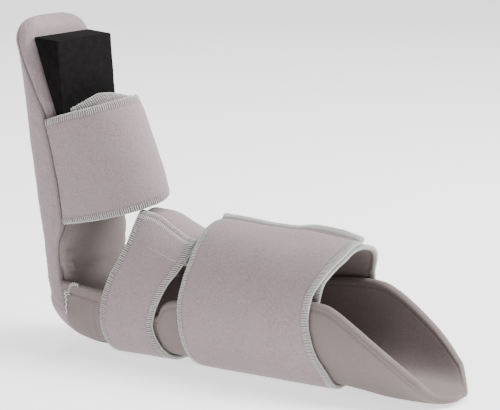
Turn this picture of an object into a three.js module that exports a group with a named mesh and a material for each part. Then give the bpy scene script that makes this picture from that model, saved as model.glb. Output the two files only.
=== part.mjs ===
// Night splint: a padded L that holds the sole of a foot at a right angle to the calf.
// Millimetres, +Z up. The splint lies on the back of its calf part, with the foot part standing up
// and leaning a little backward. +X runs along the calf from the heel to the knee end,
// +Y goes across, and the origin is on the flat underside of the wide calf strap.

import * as THREE from 'three';

// Foot part
const footLength = 277.5;
const footWidth = 100;
const footLean = 8.4;
const backDepth = 19;
const backRound = 14;
const topDrop = 23;
const topCorner = 30;
const heelRadius = 50;
const cornerHeight = 19;
const heelPad = 4;
const seamInset = 3;
const cushionThickness = 12;
const cushionRound = 9;
const cushionTuck = 1.5;

// Toe wedge
const wedgeWidth = 78.8;
const wedgeLength = 100;
const wedgeThickness = 25;
const wedgeTipThickness = 1.2;
const wedgeTopSlope = 6;
const wedgeTop = 260;

// Calf part
const calfLength = 366;
const calfWidth = 109;
const loopHeight = 119.2;
const wallThickness = 9;
const tailTaper = 30;
const panelEnd = 61;
const wingStart = 90;
const wingHeight = 77;

// Heel gussets
const gussetHeight = 45;
const gussetThickness = 6;

// Straps
const strapThickness = 4.4;
const forefootStrapWidth = 92;
const forefootStrapTop = 187;
const forefootArch = 70;
const ankleStrapWidth = 53;
const ankleStrapStart = 42;
const calfStrapWidth = 128;
const calfStrapStart = 126;

// Gap left between pieces that touch
const clearance = 0.3;

// Foot panel by share of its length up from the heel corner: width and cushionWidth as shares of the
// foot width, seam as a share of the back depth, cushion as a share of the cushion's thickness
const footTable = [
  { at: -0.06, width: 0.98, seam: 0.1, cushion: 1.15, cushionWidth: 0.84 },
  { at: 0.13, width: 0.99, seam: 0.15, cushion: 0.93, cushionWidth: 0.84 },
  { at: 0.175, width: 1.0, seam: 0.02, cushion: 0.92, cushionWidth: 0.85 },
  { at: 0.22, width: 1.0, seam: 0.05, cushion: 0.97, cushionWidth: 0.92 },
  { at: 0.28, width: 1.0, seam: 0.19, cushion: 1.0, cushionWidth: 0.93 },
  { at: 0.345, width: 1.0, seam: 0.5, cushion: 0.9, cushionWidth: 0.82 },
  { at: 0.42, width: 1.0, seam: 0.54, cushion: 0.85, cushionWidth: 0.81 },
  { at: 0.55, width: 1.0, seam: 0.43, cushion: 0.86, cushionWidth: 0.81 },
  { at: 0.68, width: 1.0, seam: 0.2, cushion: 0.82, cushionWidth: 0.82 },
  { at: 0.755, width: 1.0, seam: -0.03, cushion: 0.83, cushionWidth: 0.9 },
  { at: 0.86, width: 1.0, seam: -0.38, cushion: 0.92, cushionWidth: 0.93 },
  { at: 0.93, width: 1.0, seam: -0.56, cushion: 0.93, cushionWidth: 0.93 },
  { at: 1.0, width: 1.0, seam: -0.7, cushion: 0.95, cushionWidth: 0.93 },
];

// Limb loop by share of the calf length: width and flat as shares of half the calf width,
// lift as a share of the strap thickness, waist and top as shares of the loop height
const loopTable = [
  { at: 0.0, width: 0.92, flat: 0.3, lift: 1, waist: 0.34, top: 1.08 },
  { at: 0.12, width: 0.93, flat: 0.26, lift: 1, waist: 0.35, top: 1.05 },
  { at: 0.21, width: 0.92, flat: 0.22, lift: 1, waist: 0.37, top: 1.03 },
  { at: 0.26, width: 0.92, flat: 0.22, lift: 1, waist: 0.4, top: 0.965 },
  { at: 0.315, width: 0.94, flat: 0.24, lift: 1, waist: 0.44, top: 0.9 },
  { at: 0.34, width: 0.955, flat: 0.26, lift: 1, waist: 0.45, top: 0.98 },
  { at: 0.39, width: 0.965, flat: 0.28, lift: 1, waist: 0.46, top: 1.0 },
  { at: 0.52, width: 0.98, flat: 0.28, lift: 1, waist: 0.48, top: 0.985 },
  { at: 0.63, width: 0.995, flat: 0.28, lift: 1, waist: 0.49, top: 0.97 },
  { at: 0.73, width: 1.0, flat: 0.28, lift: 1, waist: 0.5, top: 0.965 },
  { at: 0.79, width: 0.99, flat: 0.28, lift: 0.6, waist: 0.48, top: 0.96 },
  { at: 0.86, width: 0.96, flat: 0.28, lift: 0.2, waist: 0.44, top: 0.96 },
  { at: 0.93, width: 0.88, flat: 0.28, lift: 0.15, waist: 0.36, top: 0.96 },
  { at: 1.0, width: 0.8, flat: 0.28, lift: 0.9, waist: 0.3, top: 0.96 },
];

// Top edge of the trough by share of the calf length, as a share of the wing height
const wingTable = [
  { at: 0.166, rim: 0.5 },
  { at: 0.27, rim: 0.55 },
  { at: 0.282, rim: 0.67 },
  { at: 0.3, rim: 0.73 },
  { at: 0.34, rim: 0.77 },
  { at: 0.5, rim: 0.88 },
  { at: 0.69, rim: 0.99 },
  { at: 0.72, rim: 0.98 },
  { at: 0.76, rim: 0.915 },
  { at: 0.81, rim: 0.78 },
  { at: 0.86, rim: 0.62 },
  { at: 0.9, rim: 0.47 },
  { at: 0.94, rim: 0.29 },
  { at: 0.97, rim: 0.16 },
  { at: 0.99, rim: 0.06 },
  { at: 1.0, rim: 0.01 },
];

// Strap edges by share of the way round, from the underside (0) over the near side to the top (1):
// start and end move each edge by a share of the strap's width
const calfEdgeTable = [
  { at: 0.0, start: 0.03, end: 0.06 },
  { at: 0.26, start: -0.01, end: 0.08 },
  { at: 0.39, start: -0.015, end: 0.02 },
  { at: 0.5, start: -0.015, end: -0.01 },
  { at: 0.6, start: 0.008, end: 0.0 },
  { at: 0.7, start: 0.03, end: 0.05 },
  { at: 0.78, start: 0.036, end: 0.09 },
  { at: 0.87, start: 0.034, end: 0.12 },
  { at: 1.1, start: 0.1, end: 0.12 },
];
const ankleEdgeTable = [
  { at: 0.0, start: -0.12, end: 0.15 },
  { at: 0.3, start: -0.03, end: 0.02 },
  { at: 0.4, start: -0.02, end: -0.01 },
  { at: 0.47, start: 0.0, end: 0.06 },
  { at: 0.52, start: 0.03, end: 0.15 },
  { at: 0.6, start: 0.14, end: 0.3 },
  { at: 0.67, start: 0.28, end: 0.44 },
  { at: 0.755, start: 0.36, end: 0.53 },
  { at: 0.9, start: 0.34, end: 0.56 },
  { at: 1.1, start: 0.32, end: 0.54 },
];
const forefootEdgeTable = [
  { at: 0.0, start: 0.0, end: 0.0 },
  { at: 0.1, start: 0.01, end: 0.035 },
  { at: 0.2, start: 0.03, end: 0.065 },
  { at: 0.5, start: 0.12, end: 0.12 },
  { at: 0.75, start: 0.19, end: 0.11 },
  { at: 1.0, start: 0.2, end: 0.1 },
];

// Where each strap ends, by the way round: 0 at the underside, 1 at the top over the near side,
// -1 at the top over the far side. Each band is two pieces, butted on the far side of the underside
// so that the near one is flat below
const strapJoin = -0.12;
const joinGap = 0.004;
const calfOuterEnd = 1.03;
const calfInnerEnd = -1.48;
const ankleOuterEnd = 0.91;
const ankleEndSkew = 0.048;
const ankleInnerEnd = -1.28;

// Stretches of the far side over which an inner piece dips under its outer one
const calfDip = { from: 0.66, to: 0.92 };
const ankleDip = { from: 0.62, to: 0.9 };
const wingTuck = 0.12;

// The forefoot strap runs from the near seam (0) over the instep to the far seam (1)
const forefootOuterEnd = 0.72;
const forefootInnerEnd = 0.14;
const forefootDip = { from: 0.94, to: 0.74 };
// The inner piece sits a little higher over the middle of the instep than the outer one
const innerPieceShift = 9;
const innerShiftRise = { from: 0.1, to: 0.34, share: 0.3 };
const innerShiftFall = { from: 0.3, to: 0.6 };
const archAtHeel = 1.33;
const archAtTop = 0.89;

// How much of its thickness each soft edge loses
const strapEndPinch = 0.25;
const strapEdgePinch = 0.22;
const rimThinning = 0.85;
const tailThinning = 0.94;
const heelThinning = 0.7;
const hemThinning = 0.4;
const rimPower = 10;
const hemPower = 8;
const cushionRim = 1.2;

// Way round the loop taken by its flat underside and by its lower half, and the shares of the calf
// length between which the ankle's slope meets the calf
const loopFlatShare = 0.085;
const loopWaistShare = 0.49;
const ankleSlopeEnd = 0.315;
const calfSlopeStart = 0.34;

// Stretch of the heel's quarter turn over which the cover's edge runs down to its thin heel pad
const heelSeam = { from: 0.3, to: 0.7 };

// Trough: its heel end lies at the panel's end between these shares of its half section, and the
// tail's rim closes in over the last stretch
const panelShare = 0.36;
const wingShare = 0.66;
const heelEndShare = 0.03;
const tailTip = 0.5;
const tailTipWidth = 0.08;
const tailFlare = 4;
const hemDrop = 5;
const foldStart = 0.6;

// Fineness of the facets
const topSteps = [0.02, 0.07, 0.17, 0.35, 0.57, 0.78, 1];
const panelSteps = 15;
const heelSteps = 8;
const underSteps = 3;
const coverSteps = 9;
const cushionSteps = 8;
const wedgeSteps = 6;
const troughEndSteps = [0, 0.008, 0.03, 0.06, 0.1, 0.15];
const troughSteps = 18;
const acrossTrough = 24;
const gussetSteps = 8;
const acrossStrap = 6;
const outerStrapSteps = { calf: 30, ankle: 27, forefoot: 20 };
const innerStrapSteps = { calf: 44, ankle: 36, forefoot: 24 };
const probeAlong = 1;
const probeRound = 0.002;

const lean = THREE.MathUtils.degToRad(footLean);
const floorGap = strapThickness + clearance;

const materials = {
  shell: { color: 0xaba3a4, roughness: 0.95, metalness: 0 },
  lining: { color: 0x97908b, roughness: 0.9, metalness: 0 },
  strap: { color: 0xaea6a7, roughness: 0.95, metalness: 0 },
  foam: { color: 0x1d1a1a, roughness: 0.85, metalness: 0 },
};

// Smooth curve through one column of a table, without overshoot
function readTable(table, column, at) {
  const last = table.length - 1;
  if (at <= table[0].at) return table[0][column];
  if (at >= table[last].at) return table[last][column];
  const row = table.findIndex((entry) => entry.at > at) - 1;
  const slope = (i) => (table[i + 1][column] - table[i][column]) / (table[i + 1].at - table[i].at);
  const tangent = (i) => {
    if (i === 0) return slope(0);
    if (i === last) return slope(last - 1);
    const before = slope(i - 1);
    const after = slope(i);
    return before * after > 0 ? (2 * before * after) / (before + after) : 0;
  };
  const span = table[row + 1].at - table[row].at;
  const t = (at - table[row].at) / span;
  const rise = table[row + 1][column] - table[row][column];
  const startBend = span * tangent(row) - rise;
  const endBend = rise - span * tangent(row + 1);
  return table[row][column] + t * rise + t * (1 - t) * ((1 - t) * startBend + t * endBend);
}

function smooth(from, to, value) {
  return THREE.MathUtils.smoothstep(value, from, to);
}

function spread(count, make) {
  return Array.from({ length: count + 1 }, (unused, i) => make(i / count));
}

// Closed body through rings of points; each ring is an outer row followed by an inner row back
function loft(rings) {
  const size = rings[0].length;
  const positions = rings.flat().flatMap((p) => [p.x, p.y, p.z]);
  const faces = [];
  for (let r = 0; r + 1 < rings.length; r += 1) {
    for (let i = 0; i < size; i += 1) {
      const a = r * size + i;
      const b = r * size + ((i + 1) % size);
      faces.push([a, b, b + size], [a, b + size, a + size]);
    }
  }
  const end = (rings.length - 1) * size;
  for (let i = 0; i + 1 < size / 2; i += 1) {
    const j = size - 1 - i;
    faces.push([i, j, i + 1], [i + 1, j, j - 1]);
    faces.push([end + i, end + i + 1, end + j], [end + i + 1, end + j - 1, end + j]);
  }
  const geometry = new THREE.BufferGeometry();
  geometry.setAttribute('position', new THREE.Float32BufferAttribute(positions, 3));
  geometry.setIndex(faceOutward(positions, faces).flat());
  geometry.computeVertexNormals();
  return geometry;
}

// Keep the faces as they are if the body they close has a positive volume, else turn them over
function faceOutward(positions, faces) {
  const point = (i) => new THREE.Vector3().fromArray(positions, 3 * i);
  const volume = faces.reduce((sum, [a, b, c]) => sum + point(a).dot(point(b).cross(point(c))), 0);
  return volume > 0 ? faces : faces.map(([a, b, c]) => [a, c, b]);
}

// Foot part: point at a height along the sole, across, and in front of the sole line
function footPoint(along, across, front) {
  return new THREE.Vector3(
    front * Math.cos(lean) - along * Math.sin(lean),
    across,
    cornerHeight + front * Math.sin(lean) + along * Math.cos(lean),
  );
}

// Outer line of the L in side view, as stations with an inward direction:
// straight down the back, round the heel, then along the underside
const heelCentre = {
  z: floorGap + heelRadius,
  x: (heelRadius - backDepth - (floorGap + heelRadius - cornerHeight) * Math.sin(lean)) / Math.cos(lean),
};
const heelStart = (heelCentre.z - cornerHeight) * Math.cos(lean) - heelCentre.x * Math.sin(lean);

function backStation(along) {
  const base = footPoint(along, 0, -backDepth);
  return { base, inward: new THREE.Vector3(Math.cos(lean), 0, Math.sin(lean)), along, turn: 0 };
}

function heelStation(turn) {
  const angle = lean + turn * (Math.PI / 2 - lean);
  const inward = new THREE.Vector3(Math.cos(angle), 0, Math.sin(angle));
  const base = new THREE.Vector3(heelCentre.x, 0, heelCentre.z).addScaledVector(inward, -heelRadius);
  return { base, inward, along: heelStart * (1 - turn), turn };
}

function underStation(x) {
  return { base: new THREE.Vector3(x, 0, floorGap), inward: new THREE.Vector3(0, 0, 1), along: 0, turn: 1 };
}

function underStations(steps) {
  return spread(steps, (t) => underStation(THREE.MathUtils.lerp(heelCentre.x, panelEnd - clearance, t)));
}

// How far the outer shell's side has come in at a depth, from its rounded back edge
function coverHalfWidth(station, depth) {
  const foot = (readTable(footTable, 'width', station.along / footLength) * footWidth) / 2;
  const loop = loopSize(station.base.x);
  const blend = smooth(0, 1, station.turn);
  const half = THREE.MathUtils.lerp(foot, loop.half, blend);
  const roundAcross = THREE.MathUtils.lerp(backRound, loop.half - loop.flat, blend);
  const roundDeep = THREE.MathUtils.lerp(backRound, loop.waist - loop.bottom, blend);
  const rest = Math.max(0, 1 - depth / roundDeep);
  return half - roundAcross * (1 - Math.sqrt(1 - rest * rest));
}

// Top of the pad seen from the front: a flat top with round shoulders
function shoulder(along) {
  const rise = Math.min(1, Math.max(0, (along - (footLength - topDrop)) / topDrop));
  return topCorner * (1 - Math.sqrt(1 - rise * rise));
}

// Where the shell's edge meets the cushion, measured from the outer line
function seamDepth(station) {
  const front = backDepth * readTable(footTable, 'seam', station.along / footLength);
  return THREE.MathUtils.lerp(backDepth + front, heelPad, smooth(heelSeam.from, heelSeam.to, station.turn));
}

function cushionDepth(station) {
  return cushionThickness * readTable(footTable, 'cushion', station.along / footLength);
}

// Stations from the top of the pad down to the end of the heel panel
function padStations() {
  const top = topSteps.map((share) => backStation(footLength - share * topDrop));
  const straight = spread(panelSteps, (t) => {
    return backStation(THREE.MathUtils.lerp(footLength - topDrop, heelStart, t));
  });
  const round = spread(heelSteps, (t) => heelStation(t));
  return [...top, ...straight.slice(1), ...round.slice(1), ...underStations(underSteps).slice(1)];
}

function stationPoint(station, across, depth) {
  const point = station.base.clone().addScaledVector(station.inward, depth);
  point.y = across;
  return point;
}

// Both sides of a pad section: near points, then the same far points back
function padRing(station, profile) {
  const near = profile.map(([across, depth]) => stationPoint(station, -across, depth));
  const far = profile.map(([across, depth]) => stationPoint(station, across, depth)).reverse();
  return [...near, ...far];
}

function footCover() {
  const rings = padStations().map((station) => {
    const seam = seamDepth(station) - clearance;
    const edge = Math.max(0, 1 - (footLength - station.along) / backRound);
    const rounded = Math.min(seam, backRound) * (1 - Math.sqrt(1 - edge * edge));
    const back = station.turn > 0 ? 0 : rounded;
    const profile = spread(coverSteps, (t) => {
      const depth = back + (seam - back) * (1 - Math.cos((t * Math.PI) / 2));
      const fold = Math.max(0, (t - foldStart) / (1 - foldStart));
      const fullFold = seamInset * (1 - station.turn);
      const across = coverHalfWidth(station, depth) - shoulder(station.along) - fullFold * fold * fold;
      return [across, depth];
    });
    return padRing(station, profile);
  });
  return loft(rings);
}

function footCushion() {
  const rings = padStations().map((station) => {
    const seam = seamDepth(station) + clearance / 2;
    const edge = Math.max(0, 1 - (footLength - station.along) / cushionRound);
    const dome = station.turn > 0 ? 1 : Math.sqrt(1 - edge * edge);
    const thick = Math.max(cushionRim, cushionDepth(station) * dome);
    const widest = (readTable(footTable, 'cushionWidth', station.along / footLength) * footWidth) / 2;
    const profile = spread(cushionSteps, (t) => {
      const angle = (t * Math.PI) / 2;
      const depth = seam + thick * Math.sin(angle);
      const free = widest - shoulder(station.along) - cushionRound * (1 - Math.cos(angle));
      const tuck = cushionTuck * smooth(0, heelSeam.to, station.turn) * (1 - Math.sin(angle));
      const cup = coverHalfWidth(station, depth) - gussetThickness - 2 * clearance - tuck;
      return [station.along > gussetHeight + 2 * gussetThickness ? free : Math.min(free, cup), depth];
    });
    return padRing(station, profile);
  });
  return loft(rings);
}

// Front of the cushion's crown, measured from the sole line
function cushionFace(along) {
  const station = backStation(along);
  return seamDepth(station) + clearance / 2 + cushionDepth(station) - backDepth;
}

function toeWedge() {
  const shape = new THREE.Shape();
  const foot = wedgeTop - wedgeLength;
  const base = spread(wedgeSteps, (t) => foot + t * wedgeLength);
  base.forEach((along, i) => {
    const front = cushionFace(along) + clearance;
    if (i === 0) shape.moveTo(along, front);
    else shape.lineTo(along, front);
  });
  shape.lineTo(wedgeTop - wedgeTopSlope, cushionFace(wedgeTop) + clearance + wedgeThickness);
  shape.lineTo(foot, cushionFace(foot) + clearance + wedgeTipThickness);
  shape.closePath();
  const geometry = new THREE.ExtrudeGeometry(shape, { depth: wedgeWidth, bevelEnabled: false });
  const corner = footPoint(0, 0, 0);
  const placed = new THREE.Matrix4().makeBasis(
    new THREE.Vector3(-Math.sin(lean), 0, Math.cos(lean)),
    new THREE.Vector3(Math.cos(lean), 0, Math.sin(lean)),
    new THREE.Vector3(0, 1, 0),
  );
  placed.setPosition(corner.x, -wedgeWidth / 2, corner.z);
  return geometry.applyMatrix4(placed);
}

// Size of the loop round the calf at a place along it
function loopSize(x) {
  const at = x / calfLength;
  const bottom = strapThickness * readTable(loopTable, 'lift', at) + clearance;
  return {
    half: (readTable(loopTable, 'width', at) * calfWidth) / 2,
    flat: (readTable(loopTable, 'flat', at) * calfWidth) / 2,
    bottom,
    waist: floorGap + readTable(loopTable, 'waist', at) * loopHeight,
    top: floorGap + readTable(loopTable, 'top', at) * loopHeight,
  };
}

// Point on the loop: round is 0 at the underside, 1 at the top by the near side, -1 by the far side.
// The sizes are those of the place given last, which keeps the ankle's slope apart from the calf's
function loopPoint(x, round, place) {
  const size = loopSize(place);
  const over = Math.abs(round) > 1;
  const share = over ? 2 - Math.abs(round) : Math.abs(round);
  const side = (round < 0) === over ? -1 : 1;
  if (share <= loopFlatShare) {
    return new THREE.Vector3(x, side * size.flat * (share / loopFlatShare), size.bottom);
  }
  if (share <= loopWaistShare) {
    const angle = ((share - loopFlatShare) / (loopWaistShare - loopFlatShare)) * (Math.PI / 2);
    const across = size.flat + (size.half - size.flat) * Math.sin(angle);
    return new THREE.Vector3(x, side * across, size.waist - (size.waist - size.bottom) * Math.cos(angle));
  }
  const angle = ((share - loopWaistShare) / (1 - loopWaistShare)) * (Math.PI / 2);
  const across = size.half * Math.cos(angle);
  return new THREE.Vector3(x, side * across, size.waist + (size.top - size.waist) * Math.sin(angle));
}

// The same point moved out of the loop's surface
function loopOffset(x, round, offset, placeOf = (spot) => spot) {
  const at = (spot, turn) => loopPoint(spot, turn, placeOf(spot));
  const along = at(x + probeAlong, round).sub(at(x - probeAlong, round));
  const around = at(x, round + probeRound).sub(at(x, round - probeRound));
  const out = around.cross(along).normalize();
  return at(x, round).addScaledVector(out, -offset);
}

function ankleSurface(x, round, offset) {
  return loopOffset(x, round, offset, (spot) => Math.min(spot, ankleSlopeEnd * calfLength));
}

function calfSurface(x, round, offset) {
  return loopOffset(x, round, offset, (spot) => Math.max(spot, calfSlopeStart * calfLength));
}

// How far round the loop a height is reached on the near side
function roundAtHeight(x, height) {
  const size = loopSize(x);
  if (height <= size.waist) {
    const low = Math.max(0, (height - size.bottom) / (size.waist - size.bottom));
    return loopFlatShare + (loopWaistShare - loopFlatShare) * (Math.acos(1 - low) / (Math.PI / 2));
  }
  const high = Math.asin((height - size.waist) / (size.top - size.waist)) / (Math.PI / 2);
  return loopWaistShare + (1 - loopWaistShare) * high;
}

function rimRound(x) {
  const rim = readTable(wingTable, 'rim', x / calfLength) * wingHeight;
  const tip = Math.sqrt(Math.max(0, 1 - x / calfLength));
  return roundAtHeight(x, loopSize(x).bottom + rim) * Math.min(1, tailTipWidth + tailFlare * tip);
}

// The wings start further along than the panel between them
function troughPlace(t, v) {
  const start = THREE.MathUtils.lerp(panelEnd, wingStart, smooth(panelShare, wingShare, Math.abs(v)));
  return THREE.MathUtils.lerp(start, calfLength - tailTip, t);
}

function calfTrough() {
  const lastEndStep = troughEndSteps.at(-1);
  const rest = spread(troughSteps, (t) => THREE.MathUtils.lerp(lastEndStep, 1, Math.sin((t * Math.PI) / 2)));
  const rings = [...troughEndSteps, ...rest.slice(1)].map((t) => {
    const outer = [];
    const inner = [];
    spread(acrossTrough, (v) => v * 2 - 1).forEach((v) => {
      const x = troughPlace(t, v);
      const tail = Math.max(0, 1 - (calfLength - x) / tailTaper);
      const heelEnd = Math.max(0, 1 - t / heelEndShare);
      const ends = (1 - tailThinning * tail * tail) * (1 - heelThinning * heelEnd * heelEnd);
      const full = wallThickness * Math.sqrt(ends);
      const wall = full * Math.sqrt(1 - rimThinning * Math.abs(v) ** rimPower);
      const lift = (full - wall) / 2;
      outer.push(loopOffset(x, v * rimRound(x), -lift));
      inner.push(loopOffset(x, v * rimRound(x), -lift - wall));
    });
    return [...outer, ...inner.reverse()];
  });
  return loft(rings);
}

// Side wall of the heel cup, between the shell's seam and its top hem
function heelGusset(side) {
  const stations = [
    ...spread(underSteps, (t) => backStation(THREE.MathUtils.lerp(gussetHeight - hemDrop, heelStart, t))),
    ...spread(heelSteps, (t) => heelStation(t)).slice(1),
    ...underStations(underSteps).slice(1),
  ];
  const hemStart = footPoint(gussetHeight, 0, seamDepth(stations[0]) + clearance - backDepth);
  const hemEnd = new THREE.Vector3(panelEnd - clearance, 0, hemStart.z - hemDrop);
  const rings = stations.map((station, i) => {
    const low = stationPoint(station, 0, seamDepth(station) + clearance);
    const high = hemStart.clone().lerp(hemEnd, i / (stations.length - 1));
    const outer = [];
    const inner = [];
    spread(gussetSteps, (t) => t).forEach((t) => {
      const spot = low.clone().lerp(high, t);
      const half = gussetHalfWidth(spot);
      const rim = gussetThickness * (1 - hemThinning * t ** hemPower);
      outer.push(new THREE.Vector3(spot.x, side * half, spot.z));
      inner.push(new THREE.Vector3(spot.x, side * (half - rim), spot.z));
    });
    return [...outer, ...inner.reverse()];
  });
  return loft(rings);
}

// Outer half width of the heel at a place in side view
function gussetHalfWidth(spot) {
  const toCentre = Math.atan2(heelCentre.z - spot.z, heelCentre.x - spot.x);
  const turn = THREE.MathUtils.clamp((toCentre - lean) / (Math.PI / 2 - lean), 0, 1);
  if (spot.x >= heelCentre.x) {
    const loop = loopSize(spot.x);
    const high = Math.max(0, (spot.z - loop.waist) / (loop.top - loop.waist));
    return Math.sqrt(1 - high * high) * coverHalfWidth(underStation(spot.x), spot.z - floorGap);
  }
  if (turn <= 0) return coverHalfWidth(backStation(heelStart), backDepth * 2);
  const reach = Math.hypot(heelCentre.x - spot.x, heelCentre.z - spot.z);
  return coverHalfWidth(heelStation(turn), heelRadius - reach);
}

// Strap: rings go round the limb, each one a flat section with soft edges
function strap(rounds, edges, surface, layer, skew = 0) {
  const last = rounds.length - 1;
  const rings = rounds.map((ringRound, i) => {
    const blunt = i === 0 || i === last ? strapEndPinch : 0;
    const outer = [];
    const inner = [];
    spread(acrossStrap, (v) => v).forEach((v) => {
      const round = ringRound - v * skew * (i / last) ** 2;
      const { start, end } = edges(round);
      const x = THREE.MathUtils.lerp(start, end, v);
      const soft = v === 0 || v === 1 ? strapEdgePinch : 0;
      const pinch = strapThickness * Math.max(blunt, soft);
      const base = layer(round, x);
      outer.push(surface(x, round, base + strapThickness - pinch));
      inner.push(surface(x, round, base + pinch));
    });
    return [...outer, ...inner.reverse()];
  });
  return loft(rings);
}

// Offsets of a strap's inside from the loop: the overlapping piece lies outside, the other one inside it
const outerLayer = clearance;
const innerLayer = -strapThickness;

function roundsBetween(from, to, steps) {
  return spread(steps, (t) => THREE.MathUtils.lerp(from, to, t));
}

// The same height on the other side for a way round that has passed the top
function foldRound(round) {
  return Math.abs(round) > 1 ? 2 - Math.abs(round) : Math.abs(round);
}

function calfEdges(round) {
  const at = foldRound(round);
  return {
    start: calfStrapStart + readTable(calfEdgeTable, 'start', at) * calfStrapWidth,
    end: calfStrapStart + calfStrapWidth * (1 + readTable(calfEdgeTable, 'end', at)),
  };
}

function ankleEdges(round) {
  const at = foldRound(round);
  return {
    start: ankleStrapStart + readTable(ankleEdgeTable, 'start', at) * ankleStrapWidth,
    end: ankleStrapStart + ankleStrapWidth * (1 + readTable(ankleEdgeTable, 'end', at)),
  };
}

function calfStrapOuter() {
  const rounds = roundsBetween(strapJoin, calfOuterEnd, outerStrapSteps.calf);
  return strap(rounds, calfEdges, calfSurface, () => outerLayer);
}

// The inner piece comes up the far side, dips under the outer one and tucks inside the near wing
function calfStrapInner() {
  const rounds = roundsBetween(strapJoin - joinGap, calfInnerEnd, innerStrapSteps.calf);
  return strap(rounds, calfEdges, calfSurface, (round, x) => {
    const dip = smooth(calfDip.from, calfDip.to, -round);
    if (round > -1) return THREE.MathUtils.lerp(outerLayer, innerLayer, dip);
    const above = 2 + round - rimRound(x);
    const tuck = 1 - smooth(0, wingTuck, above);
    return innerLayer - (wallThickness + clearance) * tuck;
  });
}

function ankleStrapOuter() {
  const rounds = roundsBetween(strapJoin, ankleOuterEnd, outerStrapSteps.ankle);
  return strap(rounds, ankleEdges, ankleSurface, () => outerLayer, ankleEndSkew);
}

function ankleStrapInner() {
  const rounds = roundsBetween(strapJoin - joinGap, ankleInnerEnd, innerStrapSteps.ankle);
  return strap(rounds, ankleEdges, ankleSurface, (round) => {
    return THREE.MathUtils.lerp(outerLayer, innerLayer, smooth(ankleDip.from, ankleDip.to, -round));
  });
}

// Arch over the forefoot: round is 0 at the near seam and 1 at the far seam
function archOffset(along, round, offset) {
  const half = (readTable(footTable, 'cushionWidth', along / footLength) * footWidth) / 2 + clearance;
  const foot = seamDepth(backStation(along)) + clearance - backDepth;
  const tall = forefootArch * THREE.MathUtils.lerp(archAtHeel, archAtTop, along / forefootStrapTop);
  const angle = round * Math.PI;
  const normal = new THREE.Vector2(-Math.cos(angle) / half, Math.sin(angle) / tall).normalize();
  const across = -half * Math.cos(angle) + normal.x * offset;
  return footPoint(along, across, foot + tall * Math.sin(angle) + normal.y * offset);
}

function forefootEdges(round) {
  return {
    start: forefootStrapTop - forefootStrapWidth * (1 - readTable(forefootEdgeTable, 'start', round)),
    end: forefootStrapTop + forefootStrapWidth * readTable(forefootEdgeTable, 'end', round),
  };
}

function forefootStrapOuter() {
  const rounds = roundsBetween(0, forefootOuterEnd, outerStrapSteps.forefoot);
  return strap(rounds, forefootEdges, archOffset, () => outerLayer);
}

function forefootStrapInner() {
  const rounds = roundsBetween(1, forefootInnerEnd, innerStrapSteps.forefoot);
  const edges = (round) => {
    const { start, end } = forefootEdges(round);
    const rise = smooth(innerShiftRise.from, innerShiftRise.to, round);
    const fall = 1 - smooth(innerShiftFall.from, innerShiftFall.to, round);
    const shift = innerPieceShift * THREE.MathUtils.lerp(innerShiftRise.share, 1, rise) * fall;
    return { start: start + shift, end: end + shift };
  };
  return strap(rounds, edges, archOffset, (round) => {
    return THREE.MathUtils.lerp(innerLayer, outerLayer, smooth(forefootDip.to, forefootDip.from, round));
  });
}

function piece(name, geometry, finish) {
  const mesh = new THREE.Mesh(geometry, new THREE.MeshStandardMaterial(materials[finish]));
  mesh.name = name;
  return mesh;
}

const splint = new THREE.Group();
splint.add(
  piece('foot_cover', footCover(), 'shell'),
  piece('foot_cushion', footCushion(), 'lining'),
  piece('toe_wedge', toeWedge(), 'foam'),
  piece('heel_gusset_near', heelGusset(-1), 'lining'),
  piece('heel_gusset_far', heelGusset(1), 'lining'),
  piece('calf_trough', calfTrough(), 'lining'),
  piece('forefoot_strap_outer', forefootStrapOuter(), 'strap'),
  piece('forefoot_strap_inner', forefootStrapInner(), 'strap'),
  piece('ankle_strap_outer', ankleStrapOuter(), 'strap'),
  piece('ankle_strap_inner', ankleStrapInner(), 'strap'),
  piece('calf_strap_outer', calfStrapOuter(), 'strap'),
  piece('calf_strap_inner', calfStrapInner(), 'strap'),
);

// The origin sits on the calf strap's flat underside
const restPlace = calfStrapStart + calfStrapWidth / 2;
splint.position.set(-restPlace, 0, 0);

export default splint;
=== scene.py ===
# Night splint in foam and brushed cloth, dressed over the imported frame.
# Metres, +X along the calf, +Y away from the near side, +Z up.
import math

import bmesh
import bpy
import numpy as np
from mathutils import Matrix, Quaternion, Vector


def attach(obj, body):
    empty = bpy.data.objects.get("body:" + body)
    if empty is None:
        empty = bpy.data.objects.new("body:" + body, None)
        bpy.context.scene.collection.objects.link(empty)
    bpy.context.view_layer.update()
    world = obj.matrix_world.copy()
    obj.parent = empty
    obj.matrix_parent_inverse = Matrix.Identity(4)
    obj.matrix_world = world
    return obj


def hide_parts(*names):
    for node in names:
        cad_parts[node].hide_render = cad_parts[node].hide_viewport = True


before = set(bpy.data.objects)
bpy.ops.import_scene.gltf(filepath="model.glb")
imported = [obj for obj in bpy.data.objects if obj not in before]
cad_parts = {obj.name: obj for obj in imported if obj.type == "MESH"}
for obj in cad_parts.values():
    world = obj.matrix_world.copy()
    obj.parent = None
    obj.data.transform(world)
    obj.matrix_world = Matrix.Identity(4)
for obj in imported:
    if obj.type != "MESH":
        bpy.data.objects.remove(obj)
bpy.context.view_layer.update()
print("frame loaded:", len(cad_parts), "nodes")

# Camera: set up as the photograph was taken, 500 x 410
cameraSetup = {
    "azimuthDegrees": 32.2,
    "elevationDegrees": 11.3,
    "rollDegrees": 0.2,
    "distance": 1.7,
    "focalPixels": 2000,
    "imageWidth": 500,
    "sensorWidth": 36.0,
    "target": (-0.0286, 0.0, 0.142),
}


def addObject(name, data):
    thing = bpy.data.objects.new(name, data)
    bpy.context.scene.collection.objects.link(thing)
    return thing


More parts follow.
